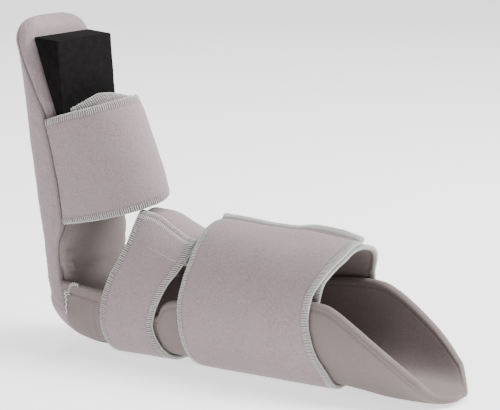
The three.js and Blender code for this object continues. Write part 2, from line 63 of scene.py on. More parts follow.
def makeCamera(setup):
    azimuth = math.radians(setup["azimuthDegrees"])
    elevation = math.radians(setup["elevationDegrees"])
    level = math.cos(elevation)
    back = Vector((math.sin(azimuth) * level, -math.cos(azimuth) * level, math.sin(elevation)))
    data = bpy.data.cameras.new("camera")
    data.sensor_width = setup["sensorWidth"]
    data.lens = setup["focalPixels"] / setup["imageWidth"] * setup["sensorWidth"]
    data.clip_end = 100
    camera = addObject("camera", data)
    camera.rotation_mode = "QUATERNION"
    camera.location = Vector(setup["target"]) + back * setup["distance"]
    turn = (-back).to_track_quat("-Z", "Y")
    roll = Quaternion((0, 0, 1), math.radians(setup["rollDegrees"]))
    camera.rotation_quaternion = turn @ roll
    bpy.context.scene.camera = camera


makeCamera(cameraSetup)
print("camera ready")

# Small helpers: curves read from a table, soft steps and soft noise.
# The clearance parts pieces that touch, and the lift keeps every mesh off the floor
clearance = 0.0003
floorLift = 0.0001


def readTable(table, column, at):  # a smooth curve through one column, without overshoot
    places = np.array(table["at"], float)
    values = np.array(table[column], float)
    slope = np.diff(values) / np.diff(places)
    tangent = np.zeros(len(places))
    tangent[0] = slope[0]
    tangent[-1] = slope[-1]
    product = slope[:-1] * slope[1:]
    total = np.where(product > 0, slope[:-1] + slope[1:], 1.0)
    tangent[1:-1] = np.where(product > 0, 2 * product / total, 0.0)
    at = np.clip(at, places[0], places[-1])
    row = np.clip(np.searchsorted(places, at, side="right") - 1, 0, len(places) - 2)
    span = places[row + 1] - places[row]
    t = (at - places[row]) / span
    rise = values[row + 1] - values[row]
    startBend = span * tangent[row] - rise
    endBend = rise - span * tangent[row + 1]
    return values[row] + t * rise + t * (1 - t) * ((1 - t) * startBend + t * endBend)


def mix(a, b, share):
    return a + (b - a) * share


def softStep(start, end, value):
    t = np.clip((value - start) / (end - start), 0, 1)
    return t * t * (3 - 2 * t)


def bump(value, centre, width):  # a bell of height 1
    return np.exp(-(((value - centre) / width) ** 2))


def roundOff(inward, radius):  # share of the full thickness at a distance from a rounded edge
    t = 1 - np.clip(inward / radius, 0, 1)
    return np.sqrt(1 - t * t)


def softNoise(points, size, seed):  # smooth noise between about -1 and 1
    dice = np.random.default_rng(seed)
    total = np.zeros(points.shape[:-1])
    for octave in (1.0, 0.53):
        waves = dice.normal(size=(7, 3)) * 2.2 / (size * octave)
        phases = dice.uniform(0, 2 * math.pi, 7)
        for wave, phase in zip(waves, phases):
            total += octave * np.sin(points @ wave + phase)
    return total / 6


def unit(vectors):
    return vectors / np.maximum(np.linalg.norm(vectors, axis=-1, keepdims=True), 1e-12)


def spacing(length, edges, step):  # places along a length, crowded at the named distances from both ends
    inner = [edge for edge in edges if edge < length / 2]
    last = inner[-1]
    count = max(2, int(round((length - 2 * last) / step)))
    middle = np.linspace(last, length - last, count + 1)[1:-1]
    return np.concatenate([inner, middle, [length - edge for edge in reversed(inner)]]) / length


def travel(points, axis=0):  # distance along the surface from the first row or column
    total = np.cumsum(np.linalg.norm(np.diff(points, axis=axis), axis=-1), axis)
    return np.concatenate([np.zeros_like(np.take(total, [0], axis)), total], axis)


# Mesh makers
def quads(index):
    low, high = index[..., :-1], index[..., 1:]
    corners = [low[..., :-1, :], low[..., 1:, :], high[..., 1:, :], high[..., :-1, :]]
    return np.stack(corners, -1).reshape(-1, 4)


def makeObject(name, points, faces, finishes, faceFinish=None):
    points = np.stack([points[:, 0], points[:, 1], np.maximum(points[:, 2], floorLift)], -1)
    mesh = bpy.data.meshes.new(name)
    mesh.from_pydata(points.tolist(), [], faces)
    for finish in finishes:
        mesh.materials.append(finish)
    if faceFinish is not None:
        mesh.polygons.foreach_set("material_index", faceFinish)
    work = bmesh.new()
    work.from_mesh(mesh)
    bmesh.ops.recalc_face_normals(work, faces=work.faces)
    work.to_mesh(mesh)
    work.free()
    mesh.shade_smooth()
    return addObject(name, mesh)


def setPaintedShade(piece, paintedShade):  # painted shade: darkening in folds, grooves and beside seams, read by the cloth's finish
    layer = piece.data.attributes.new("paintedShade", "FLOAT", "POINT")
    layer.data.foreach_set("value", np.asarray(paintedShade, np.float32).ravel())


def closedSheet(name, outer, inner, finishes, paintedShade):  # first finish outside, last one inside
    rows, columns = outer.shape[:2]
    count = rows * columns
    index = np.arange(count).reshape(rows, columns)
    rim = np.concatenate([index[0, :], index[1:, -1], index[-1, -2::-1], index[-2:0:-1, 0]])
    after = np.roll(rim, -1)
    front = quads(index)
    back = quads(index)[:, ::-1] + count
    side = np.stack([after, rim, rim + count, after + count], -1)
    faces = np.concatenate([front, back, side]).tolist()
    faceFinish = [0] * len(front) + [len(finishes) - 1] * len(back) + [0] * len(side)
    points = np.concatenate([outer.reshape(-1, 3), inner.reshape(-1, 3)])
    piece = makeObject(name, points, faces, finishes, faceFinish)
    setPaintedShade(piece, np.concatenate([paintedShade.ravel(), paintedShade.ravel()]))
    return piece


def closedLoft(name, rings, finishes):  # each ring runs up one side and back down the other
    count, size = rings.shape[:2]
    index = np.arange(count * size).reshape(count, size)
    wrapped = np.concatenate([index, index[:, :1]], 1)
    faces = quads(wrapped).tolist()
    for row in (0, count - 1):
        for i in range(size // 2 - 1):
            j = size - 1 - i
            faces.append([index[row, i], index[row, i + 1], index[row, j - 1], index[row, j]])
    return makeObject(name, rings.reshape(-1, 3), faces, finishes)


def threadMesh(paths, sideways, wide, high, sides=6):  # oval threads along many short paths
    count, steps = paths.shape[:2]
    forward = unit(np.gradient(paths, axis=1))
    across = unit(sideways - forward * np.sum(sideways * forward, -1, keepdims=True))
    up = np.cross(forward, across)
    turns = np.linspace(0, 2 * math.pi, sides, endpoint=False)
    taper = np.ones(steps)
    taper[[0, -1]] = 0.5
    taper = taper[:, None]
    rings = [
        paths + wide * math.cos(turn) * taper * across + high * math.sin(turn) * taper * up
        for turn in turns
    ]
    points = np.stack(rings, 2)
    index = np.arange(count * steps * sides).reshape(count, steps, sides)
    walls = quads(np.concatenate([index, index[:, :, :1]], 2))
    caps = np.concatenate([index[:, 0, ::-1], index[:, -1, :]])
    return points.reshape(-1, 3), walls, caps


def makeThreads(name, bundles, finish):  # joins bundles of threads into one piece
    points = []
    faces = []
    start = 0
    for bundlePoints, walls, caps in bundles:
        points.append(bundlePoints)
        faces += (walls + start).tolist() + (caps + start).tolist()
        start += len(bundlePoints)
    return makeObject(name, np.concatenate(points), faces, [finish])


def evenPlaces(at, pitch, start=0.0, end=1.0):  # parameters that are one pitch apart along a line
    t = np.linspace(start, end, 600)
    run = travel(at(t))
    count = max(2, int(run[-1] / pitch))
    return np.interp((np.arange(count) + 0.5) / count * run[-1], run, t), run[-1]


# Finishes, all worked out from the object's own coordinates
def fillInputs(finish, node, inputs):  # values are set, other nodes' outputs are linked
    for name, value in inputs.items():
        socket = node.inputs[name]
        if isinstance(value, bpy.types.NodeSocket):
            finish.node_tree.links.new(value, socket)
        else:
            socket.default_value = (*value, 1) if socket.type == "RGBA" else value


def addNode(finish, kind, output, inputs):
    node = finish.node_tree.nodes.new("ShaderNode" + kind)
    if kind == "Mix":
        node.data_type = "RGBA"
    fillInputs(finish, node, inputs)
    return node.outputs[output]


def newFinish(name, inputs):
    finish = bpy.data.materials.new(name)
    finish.use_nodes = True
    shader = finish.node_tree.nodes["Principled BSDF"]
    fillInputs(finish, shader, inputs)
    return finish, shader, addNode(finish, "TexCoord", "Object", {})


def noiseNode(finish, place, scale, detail, stretch=(1, 1, 1)):
    stretched = addNode(finish, "Mapping", "Vector", {"Scale": stretch, "Vector": place})
    return addNode(finish, "TexNoise", "Fac", {"Scale": scale, "Detail": detail, "Vector": stretched})


def rampNode(finish, value, low, high):
    return addNode(finish, "MapRange", "Result", {"From Min": low, "From Max": high, "Value": value})


def mixColours(finish, share, first, second):
    return addNode(finish, "Mix", 2, {0: share, 6: first, 7: second})


def bumpNode(finish, height, strength, distance, before=None):
    inputs = {"Strength": strength, "Distance": distance, "Height": height}
    if before is not None:
        inputs["Normal"] = before
    return addNode(finish, "Bump", "Normal", inputs)


def clothFinish(name, look):
    finish, shader, place = newFinish(name, {
        "Roughness": look["roughness"], "Sheen Weight": look["sheen"],
        "Sheen Roughness": 0.5, "Specular IOR Level": 0.15,
    })
    nap = rampNode(finish, noiseNode(finish, place, look["napScale"], 5), 0.32, 0.68)
    patches = rampNode(finish, noiseNode(finish, place, look["patchScale"], 3), 0.35, 0.65)
    colour = mixColours(finish, nap, look["dark"], look["light"])
    tinted = mixColours(finish, look["patchShare"], colour, look["patchColour"])
    colour = mixColours(finish, patches, colour, tinted)
    # painted shade: the colour is pulled towards the shade colour where a piece carries painted shade values
    paintedShade = finish.node_tree.nodes.new("ShaderNodeAttribute")
    paintedShade.attribute_name = "paintedShade"
    colour = mixColours(finish, paintedShade.outputs["Fac"], colour, look["paintedShadeColour"])
    fibres = noiseNode(finish, place, look["fibreScale"], 6, look["fibreStretch"])
    normal = bumpNode(finish, fibres, look["fibreStrength"], look["fibreDepth"])
    loops = noiseNode(finish, place, look["loopScale"], 2)
    normal = bumpNode(finish, loops, look["loopStrength"], look["loopDepth"], normal)
    fillInputs(finish, shader, {"Base Color": colour, "Normal": normal})
    return finish


# Cloth looks below: each holds a shade colour, the painted shade mixed in at folds, grooves and beside seams
brushedLook = {
    "roughness": 0.95, "sheen": 0.25,
    "dark": (0.24, 0.181, 0.192), "light": (0.332, 0.259, 0.272),
    "patchColour": (0.3, 0.243, 0.251), "patchShare": 0.5, "paintedShadeColour": (0.13, 0.097, 0.101),
    "napScale": 620, "patchScale": 55,
    "fibreScale": 1500, "fibreStretch": (1, 1, 1), "fibreStrength": 0.55, "fibreDepth": 0.0005,
    "loopScale": 420, "loopStrength": 0.3, "loopDepth": 0.0005,
}
liningLook = {
    "roughness": 0.9, "sheen": 0.1,
    "dark": (0.166, 0.133, 0.126), "light": (0.218, 0.178, 0.171),
    "patchColour": (0.182, 0.152, 0.145), "patchShare": 0.4, "paintedShadeColour": (0.078, 0.061, 0.057),
    "napScale": 1100, "patchScale": 38,
    "fibreScale": 1900, "fibreStretch": (1, 1, 0.3), "fibreStrength": 0.35, "fibreDepth": 0.0003,
    "loopScale": 900, "loopStrength": 0.2, "loopDepth": 0.0003,
}
coverLook = {
    **brushedLook, "napScale": 540, "dark": (0.245, 0.187, 0.198), "light": (0.328, 0.258, 0.27),
}
threadLook = {
    "dark": (0.44, 0.46, 0.43), "light": (0.74, 0.77, 0.725), "roughness": 0.75, "twistScale": 1600,
}
hemThreadLook = {**threadLook, "dark": (0.2, 0.1, 0.098), "light": (0.38, 0.235, 0.225)}
whiteThreadLook = {
    **threadLook, "dark": (0.66, 0.67, 0.65), "light": (0.85, 0.86, 0.84), "roughness": 0.7,
}
foamLook = {
    "dark": (0.0018, 0.0015, 0.0014), "light": (0.0052, 0.0044, 0.0042), "roughness": 0.9,
    "poreScale": 900, "cloudScale": 160,
}


def threadFinish(name, look):
    finish, shader, place = newFinish(name, {
        "Roughness": look["roughness"], "Sheen Weight": 0.2,
        "Sheen Roughness": 0.4, "Specular IOR Level": 0.3,
    })
    twist = noiseNode(finish, place, look["twistScale"], 3)
    colour = mixColours(finish, rampNode(finish, twist, 0.3, 0.7), look["dark"], look["light"])
    fillInputs(finish, shader, {"Base Color": colour, "Normal": bumpNode(finish, twist, 0.4, 0.0003)})
    return finish


def foamFinish(name, look):
    finish, shader, place = newFinish(name, {
        "Roughness": look["roughness"], "Sheen Weight": 0.0, "Specular IOR Level": 0.12,
    })
    pores = addNode(finish, "TexVoronoi", "Distance", {"Scale": look["poreScale"], "Vector": place})
    cloudy = rampNode(finish, noiseNode(finish, place, look["cloudScale"], 4), 0.3, 0.7)
    colour = mixColours(finish, cloudy, look["dark"], look["light"])
    fillInputs(finish, shader, {"Base Color": colour, "Normal": bumpNode(finish, pores, 0.35, 0.0004)})
    return finish


brushedCloth = clothFinish("brushedCloth", brushedLook)
coverCloth = clothFinish("coverCloth", coverLook)
liningCloth = clothFinish("liningCloth", liningLook)
paleThread = threadFinish("paleThread", threadLook)
hemThread = threadFinish("hemThread", hemThreadLook)
whiteThread = threadFinish("whiteThread", whiteThreadLook)
blackFoam = foamFinish("blackFoam", foamLook)
print("finishes ready")

# The sole panel: a flat back, rounded edges, a cover and a cushion on its front
footPanel = {
    "length": 0.2775, "width": 0.100, "leanDegrees": 8.4, "backDepth": 0.019, "backRound": 0.014,
    "topDrop": 0.023, "topCorner": 0.030, "heelRadius": 0.050, "cornerHeight": 0.019,
    "heelPad": 0.004, "heelSeam": (0.3, 0.7), "seamInset": 0.003, "foldStart": 0.6, "panelEnd": 0.061,
}
footCushionSizes = {"thickness": 0.012, "round": 0.009, "rim": 0.0012, "tuck": 0.0015}
gussetSizes = {"height": 0.045, "thickness": 0.006, "hemDrop": 0.005, "hemWidth": 0.0112}
footTable = {
    "at": [-0.06, 0.13, 0.175, 0.22, 0.28, 0.345, 0.42, 0.55, 0.68, 0.755, 0.86, 0.93, 1.0],
    "width": [0.98, 0.99, 1.0, 1.0, 1.0, 1.0, 1.0, 1.0, 1.0, 1.0, 1.0, 1.0, 1.0],
    "seam": [0.1, 0.15, 0.02, 0.05, 0.19, 0.5, 0.54, 0.43, 0.2, -0.03, -0.38, -0.56, -0.7],
    "cushion": [1.15, 0.93, 0.92, 0.97, 1.0, 0.9, 0.85, 0.86, 0.82, 0.83, 0.92, 0.93, 0.95],
    "cushionWidth": [0.84, 0.84, 0.85, 0.92, 0.93, 0.82, 0.81, 0.81, 0.82, 0.9, 0.93, 0.93, 0.93],
}

# The loop in cross-section that the trough and the lower straps follow
calfPart = {
    "length": 0.366, "width": 0.109, "loopHeight": 0.1192, "wall": 0.009, "tailTaper": 0.030,
    "wingStart": 0.090, "wingHeight": 0.077, "flatShare": 0.085, "waistShare": 0.49,
    "ankleSlopeEnd": 0.315, "calfSlopeStart": 0.34, "restPlace": 0.190,
}
loopTable = {
    "at": [0.0, 0.12, 0.21, 0.26, 0.315, 0.34, 0.39, 0.52, 0.63, 0.73, 0.79, 0.86, 0.93, 1.0],
    "width": [0.92, 0.93, 0.92, 0.92, 0.94, 0.955, 0.965, 0.98, 0.995, 1.0, 0.99, 0.96, 0.88, 0.8],
    "flat": [0.3, 0.26, 0.22, 0.22, 0.24, 0.26, 0.28, 0.28, 0.28, 0.28, 0.28, 0.28, 0.28, 0.28],
    "lift": [1, 1, 1, 1, 1, 1, 1, 1, 1, 1, 0.6, 0.2, 0.15, 0.9],
    "waist": [0.34, 0.35, 0.37, 0.4, 0.44, 0.45, 0.46, 0.48, 0.49, 0.5, 0.48, 0.44, 0.36, 0.3],
    "top": [1.08, 1.05, 1.03, 0.965, 0.9, 0.98, 1.0, 0.985, 0.97, 0.965, 0.96, 0.96, 0.96, 0.96],
}
strapCloth = {"thickness": 0.0044, "edgeRound": 0.0016, "pressed": 0.8, "puff": 0.0003}
floorGap = strapCloth["thickness"] + clearance
lean = math.radians(footPanel["leanDegrees"])


def placed(x, y, z):  # from the heel corner's place to the frame's origin
    return np.stack(np.broadcast_arrays(x - calfPart["restPlace"], y, z), -1)


def loopSize(x):
    at = x / calfPart["length"]
    half = calfPart["width"] / 2
    height = calfPart["loopHeight"]
    return {
        "half": readTable(loopTable, "width", at) * half,
        "flat": readTable(loopTable, "flat", at) * half,
        "bottom": strapCloth["thickness"] * readTable(loopTable, "lift", at) + clearance,
        "waist": floorGap + readTable(loopTable, "waist", at) * height,
        "top": floorGap + readTable(loopTable, "top", at) * height,
    }


def loopPoint(x, turn, place):  # turn: 0 underside, 1 top by the near side, -1 top by the far side
    size = loopSize(place)
    over = np.abs(turn) > 1
    share = np.where(over, 2 - np.abs(turn), np.abs(turn))
    side = np.where((turn < 0) == over, -1.0, 1.0)
    flatShare = calfPart["flatShare"]
    waistShare = calfPart["waistShare"]
    low = np.clip((share - flatShare) / (waistShare - flatShare), 0, 1) * math.pi / 2
    high = np.clip((share - waistShare) / (1 - waistShare), 0, 1) * math.pi / 2
    across = size["flat"] * np.minimum(share / flatShare, 1) + (size["half"] - size["flat"]) * np.sin(low)
    across = np.where(share > waistShare, size["half"] * np.cos(high), across)
    z = size["waist"] - (size["waist"] - size["bottom"]) * np.cos(low)
    z = np.where(share > waistShare, size["waist"] + (size["top"] - size["waist"]) * np.sin(high), z)
    return placed(x, side * across, z)


def loopOffset(x, turn, offset, place=lambda x: x):
    step = 0.001
    probe = 0.002
    along = loopPoint(x + step, turn, place(x + step)) - loopPoint(x - step, turn, place(x - step))
    around = loopPoint(x, turn + probe, place(x)) - loopPoint(x, turn - probe, place(x))
    out = unit(np.cross(around, along))
    return loopPoint(x, turn, place(x)) - out * np.asarray(offset)[..., None]


def ankleSurface(x, turn, offset):
    last = calfPart["ankleSlopeEnd"] * calfPart["length"]
    return loopOffset(x, turn, offset, lambda spot: np.minimum(spot, last))


def calfSurface(x, turn, offset):
    first = calfPart["calfSlopeStart"] * calfPart["length"]
    return loopOffset(x, turn, offset, lambda spot: np.maximum(spot, first))


# Stations of the sole panel, each with a point on the outer line and the direction inward
heelRadius = footPanel["heelRadius"]
backDepth = footPanel["backDepth"]
footLength = footPanel["length"]
heelCentreZ = floorGap + heelRadius
heelRise = heelCentreZ - footPanel["cornerHeight"]
heelCentreX = (heelRadius - backDepth - heelRise * math.sin(lean)) / math.cos(lean)
heelStart = heelRise * math.cos(lean) - heelCentreX * math.sin(lean)


def footSpot(along, front):  # x and z in front of the sole line, at a height along it
    x = front * math.cos(lean) - along * math.sin(lean)
    return x, footPanel["cornerHeight"] + front * math.sin(lean) + along * math.cos(lean)


def stationsAt(x, z, inX, inZ, along, turn):  # turn: 0 on the back, 1 on the underside
    values = np.broadcast_arrays(x, z, inX, inZ, along, turn)
    return dict(zip(("x", "z", "inX", "inZ", "along", "turn"), values))


def backStations(along):
    x, z = footSpot(along, -backDepth)
    return stationsAt(x, z, math.cos(lean), math.sin(lean), along, 0.0)


def heelStations(turn):
    angle = lean + turn * (math.pi / 2 - lean)
    inX = np.cos(angle)
    inZ = np.sin(angle)
    x = heelCentreX - heelRadius * inX
    return stationsAt(x, heelCentreZ - heelRadius * inZ, inX, inZ, heelStart * (1 - turn), turn)


def underStations(x):
    return stationsAt(x, floorGap, 0.0, 1.0, 0.0, 1.0)


def joinStations(*groups):
    return {key: np.concatenate([group[key] for group in groups]) for key in groups[0]}


def column(stations):  # the same stations, ready to meet a row of depths
    return {key: value[:, None] for key, value in stations.items()}


def footValue(column, along):
    return readTable(footTable, column, along / footLength)


def coverHalfWidth(station, depth):
    foot = footValue("width", station["along"]) * footPanel["width"] / 2
    loop = loopSize(station["x"])
    blend = softStep(0, 1, station["turn"])
    half = mix(foot, loop["half"], blend)
    roundAcross = mix(footPanel["backRound"], loop["half"] - loop["flat"], blend)
    roundDeep = mix(footPanel["backRound"], loop["waist"] - loop["bottom"], blend)
    rest = np.clip(1 - depth / roundDeep, 0, 1)
    return half - roundAcross * (1 - np.sqrt(1 - rest * rest))


def shoulder(along):
    drop = footPanel["topDrop"]
    rise = np.clip((along - (footLength - drop)) / drop, 0, 1)
    return footPanel["topCorner"] * (1 - np.sqrt(1 - rise * rise))


def seamDepth(station):
    front = backDepth * footValue("seam", station["along"])
    low = softStep(*footPanel["heelSeam"], station["turn"])
    return mix(backDepth + front, footPanel["heelPad"], low)


def cushionDepth(station):
    return footCushionSizes["thickness"] * footValue("cushion", station["along"])


def padStations():
    drop = footPanel["topDrop"]
    top = drop * np.array([0.02, 0.04, 0.07, 0.12, 0.18, 0.26, 0.35, 0.46, 0.58, 0.7, 0.85])
    return joinStations(
        backStations(footLength - top),
        backStations(np.linspace(footLength - drop, heelStart, 60)[:-1]),
        heelStations(np.linspace(0, 1, 28)),
        underStations(np.linspace(heelCentreX, footPanel["panelEnd"] - clearance, 10)[1:]),
    )


def padRings(stations, across, depth):  # near side from the back to the front, then the far side back
    x = stations["x"] + stations["inX"] * depth
    z = stations["z"] + stations["inZ"] * depth
    near = placed(x, -across, z)
    far = placed(x, across, z)
    return np.concatenate([near, far[:, ::-1]], 1)


def wholeSection(across, depth, backCount, frontCount):  # closes a side profile over its back and front
    back = np.linspace(0.03, 1, backCount + 1)[None, :-1]
    front = np.linspace(1, 0.03, frontCount + 1)[None, 1:]
    return (
        np.concatenate([across[:, :1] * back, across, across[:, -1:] * front], 1),
        np.concatenate([depth[:, :1] + 0 * back, depth, depth[:, -1:] + 0 * front], 1),
    )


def soleFrame(points):  # height along the sole line and distance in front of it
    x = points[..., 0] + calfPart["restPlace"]
    z = points[..., 2] - footPanel["cornerHeight"]
    return z * math.cos(lean) - x * math.sin(lean), x * math.cos(lean) + z * math.sin(lean)


def vertexValues(piece, name):
    values = np.empty(len(piece.data.vertices) * 3, np.float32)
    piece.data.vertices.foreach_get(name, values)
    return values.reshape(-1, 3).astype(float)


def writePoints(piece, points):
    piece.data.vertices.foreach_set("co", points.astype(np.float32).ravel())
    piece.data.update()


def settleMesh(piece):  # keep what the modifiers make and drop them
    shown = piece.evaluated_get(bpy.context.evaluated_depsgraph_get())
    fresh = bpy.data.meshes.new_from_object(shown)
    piece.modifiers.clear()
    piece.data = fresh


def puffUp(piece, held, look):  # cloth simulation: the pad swells between its sewn seams
    scene = bpy.context.scene
    rest = vertexValues(piece, "co")
    group = piece.vertex_groups.new(name="sewn")
    for number, weight in enumerate(held.ravel()):
        if weight > 0:
            group.add([number], float(weight), "REPLACE")
    cloth = piece.modifiers.new("cloth", "CLOTH")
    settings = cloth.settings
    settings.quality = 6
    settings.mass = 0.3
    settings.vertex_group_mass = group.name
    settings.use_pressure = True
    settings.uniform_pressure_force = look["pressure"]
    settings.tension_stiffness = look["stiffness"]
    settings.compression_stiffness = look["stiffness"]
    settings.bending_stiffness = look["bending"]
    settings.effector_weights.gravity = 0
    settings.shrink_min = look["slack"]
    cloth.collision_settings.use_collision = False
    cloth.point_cache.frame_start = 1
    cloth.point_cache.frame_end = look["frames"]
    for number in range(1, look["frames"] + 1):
        scene.frame_set(number)
    shown = piece.evaluated_get(bpy.context.evaluated_depsgraph_get())
    moved = vertexValues(shown, "co")
    piece.modifiers.remove(cloth)
    scene.frame_set(1)
    step = moved - rest
    length = np.linalg.norm(step, axis=1, keepdims=True)
    step *= look["cap"] * np.tanh(length / look["cap"]) / np.maximum(length, 1e-9)
    writePoints(piece, rest + step * softStep(*look["floorFade"], rest[:, 2:3]))
    piece.vertex_groups.clear()
    subdivision = piece.modifiers.new("subdivision", "SUBSURF")
    subdivision.levels = 1
    settleMesh(piece)
    piece.data.shade_smooth()


footCoverLook = {
    "pressure": 3.0, "stiffness": 10, "bending": 0.4, "slack": -0.012, "frames": 16, "cap": 0.0015,
    "shrink": 0.0006, "waviness": 0.00045, "topFold": 0.0011, "topFoldFrom": (0.76, 0.9),
    "floorFade": (0.007, 0.03), "columns": (8, 22, 5), "sewnFrom": (0.86, 0.98), "waveSize": 0.03,
}


def makeFootCover(look):
    rows = column(padStations())
    backCount, sideCount, frontCount = look["columns"]
    t = np.linspace(0, 1, sideCount)[None, :]
    seam = seamDepth(rows) - clearance / 2
    edge = np.clip(1 - (footLength - rows["along"]) / footPanel["backRound"], 0, 1)
    rounded = np.minimum(seam, footPanel["backRound"]) * (1 - np.sqrt(1 - edge * edge))
    back = np.where(rows["turn"] > 0, 0, rounded) + look["shrink"]
    depth = back + (seam - back) * (1 - np.cos(t * math.pi / 2))
    fold = np.clip((t - footPanel["foldStart"]) / (1 - footPanel["foldStart"]), 0, 1)
    nearTop = softStep(*look["topFoldFrom"], rows["along"] / footLength)
    fullFold = mix(footPanel["seamInset"], look["topFold"], nearTop) * (1 - rows["turn"])
    shrink = look["shrink"] * (1 - fold)
    across = coverHalfWidth(rows, depth) - shoulder(rows["along"]) - fullFold * fold ** 3 - shrink
    across, depth = wholeSection(across, depth, backCount, frontCount)
    sewn = [np.zeros((1, backCount)), softStep(*look["sewnFrom"], t), np.ones((1, frontCount))]
    held = np.concatenate(sewn, 1) + np.zeros((len(across), 1))
    piece = closedLoft("footCover", padRings(rows, across, depth), [coverCloth])
    puffUp(piece, np.concatenate([held, held[:, ::-1]], 1), look)
    points = vertexValues(piece, "co")
    waves = vertexValues(piece, "normal") * softNoise(points, look["waveSize"], 3)[:, None] * look["waviness"]
    writePoints(piece, points + waves)
    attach(piece, "root")
    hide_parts("foot_cover")


footCushionLook = {
    "pressure": 3.5, "stiffness": 8, "bending": 0.3, "slack": -0.02, "frames": 16, "cap": 0.0016,
    "shrink": 0.0009, "waviness": 0.0004, "topWiden": 0.0016, "liningBelow": 0.13,
    "creaseHeights": (0.0485, 0.0545, 0.0615, 0.071), "creaseDepth": 0.0011, "creaseWidth": 0.0016,
    "floorFade": (0.007, 0.03), "columns": (5, 20, 9), "sewnTo": (0.04, 0.3), "heldInCup": 0.85,
    "waveSize": 0.024, "creaseFront": 0.012, "creaseShadeShare": 0.35, "cupFade": 0.012,
}


def makeFootCushion(look):
    rows = column(padStations())
    sizes = footCushionSizes
    backCount, sideCount, frontCount = look["columns"]
    t = np.linspace(0, 1, sideCount)[None, :]
    angle = t * math.pi / 2
    seam = seamDepth(rows) + clearance / 2
    edge = np.clip(1 - (footLength - rows["along"]) / sizes["round"], 0, 1)
    dome = np.where(rows["turn"] > 0, 1, np.sqrt(1 - edge * edge))
    thick = np.maximum(sizes["rim"], cushionDepth(rows) * dome - look["shrink"])
    widest = footValue("cushionWidth", rows["along"]) * footPanel["width"] / 2
    nearTop = softStep(*footCoverLook["topFoldFrom"], rows["along"] / footLength)
    widest = widest + look["topWiden"] * nearTop
    depth = seam + thick * np.sin(angle)
    shrink = look["shrink"] * np.sin(angle)
    free = widest - shoulder(rows["along"]) - sizes["round"] * (1 - np.cos(angle)) - shrink
    tuck = sizes["tuck"] * softStep(0, footPanel["heelSeam"][1], rows["turn"]) * (1 - np.sin(angle))
    wall = gussetSizes["thickness"]
    cup = coverHalfWidth(rows, depth) - wall - 2 * clearance - tuck - look["shrink"]
    open = rows["along"] > gussetSizes["height"] + 2 * wall
    across = np.where(open, free, np.minimum(free, cup))
    across, depth = wholeSection(across, depth, backCount, frontCount)
    sewn = [np.ones((1, backCount)), 1 - softStep(*look["sewnTo"], t), np.zeros((1, frontCount))]
    cupTop = gussetSizes["height"]
    inCup = 1 - softStep(cupTop, cupTop + look["cupFade"], rows["along"])
    held = np.maximum(np.concatenate(sewn, 1), look["heldInCup"] * inCup)
    piece = closedLoft("footCushion", padRings(rows, across, depth), [liningCloth, coverCloth])
    puffUp(piece, np.concatenate([held, held[:, ::-1]], 1), look)
    points = vertexValues(piece, "co")
    height, front = soleFrame(points)
    push = softNoise(points, look["waveSize"], 5) * look["waviness"]
    atSide = softStep(0.028, 0.04, np.abs(points[:, 1])) * softStep(0.004, 0.01, front)
    crease = np.zeros(len(points))
    for number, place in enumerate(look["creaseHeights"]):
        tilted = height - place + (front - look["creaseFront"]) * (0.5 - 0.16 * number)
        crease += bump(tilted, 0, look["creaseWidth"]) * (1 - 0.15 * number)
    crease *= atSide
    pushed = (push - crease * look["creaseDepth"])[:, None]
    writePoints(piece, points + vertexValues(piece, "normal") * pushed)
    # painted shade in the creases at the sides, on top of the creases pressed into the cushion
    setPaintedShade(piece, np.clip(crease * look["creaseShadeShare"], 0, 1))
    heights = np.array([soleFrame(np.array(face.center))[0] for face in piece.data.polygons])
    covered = (heights > look["liningBelow"]).astype(np.int32)
    piece.data.polygons.foreach_set("material_index", covered)
    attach(piece, "root")
    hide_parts("foot_cushion")


makeFootCover(footCoverLook)
print("foot cover ready")
makeFootCushion(footCushionLook)
print("foot cushion ready")

# Toe wedge: a block of black foam with softened edges
toeWedgeLook = {
    "width": 0.0788, "length": 0.100, "thickness": 0.025, "tip": 0.0012, "topSlope": 0.006, "top": 0.260,
    "edge": 0.0011, "waviness": 0.00015,
}


def cushionFace(along):
    station = backStations(along)
    return seamDepth(station) + clearance / 2 + cushionDepth(station) - backDepth


def makeToeWedge(look):
    foot = look["top"] - look["length"]
    rise = spacing(look["length"], [0, 0.0002, 0.0006, 0.0012, 0.003], 0.003)
    along = foot + rise * look["length"]
    back = cushionFace(along) + clearance
    fullBack = cushionFace(np.array([look["top"]]))[0] + clearance
    footBack = cushionFace(np.array([foot]))[0] + clearance
    front = mix(footBack + look["tip"], fullBack + look["thickness"], rise)
    inset = look["edge"] * (1 - roundOff(np.minimum(rise, 1 - rise) * look["length"], look["edge"]))
    rings = []
    turns = np.linspace(0, math.pi / 2, 5)
    side = np.linspace(-1, 1, 14)[1:-1]
    for s, low, high, cut in zip(along, back, front, inset):
        deep = (high - low) / 2
        cut = min(cut, deep * 0.5)
        radius = min(look["edge"], deep * 0.8)
        half = look["width"] / 2 - cut
        deep -= cut
        corner = [(radius * math.cos(a), radius * math.sin(a)) for a in turns]
        far = [(half - radius + x, deep - radius + y) for x, y in corner]
        top = [(-x * (half - radius), deep) for x in side]
        nearTop = [(-(half - radius) - y, deep - radius + x) for x, y in corner]
        outline = far + top + nearTop
        outline += [(-x, -y) for x, y in outline]
        outline = np.array(outline)
        depth = (low + high) / 2 + outline[:, 1]
        slope = look["topSlope"] * (s - foot) / look["length"] * (depth - low) / look["thickness"]
        x, z = footSpot(s - slope, depth)
        rings.append(placed(x, outline[:, 0], z))
    rings = np.array(rings)
    rings += look["waviness"] * softNoise(rings, 0.012, 11)[..., None]
    rings = np.roll(rings, -(rings.shape[1] // 4), axis=1)
    piece = closedLoft("toeWedge", rings, [blackFoam])
    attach(piece, "root")
    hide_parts("toe_wedge")


makeToeWedge(toeWedgeLook)
print("toe wedge ready")

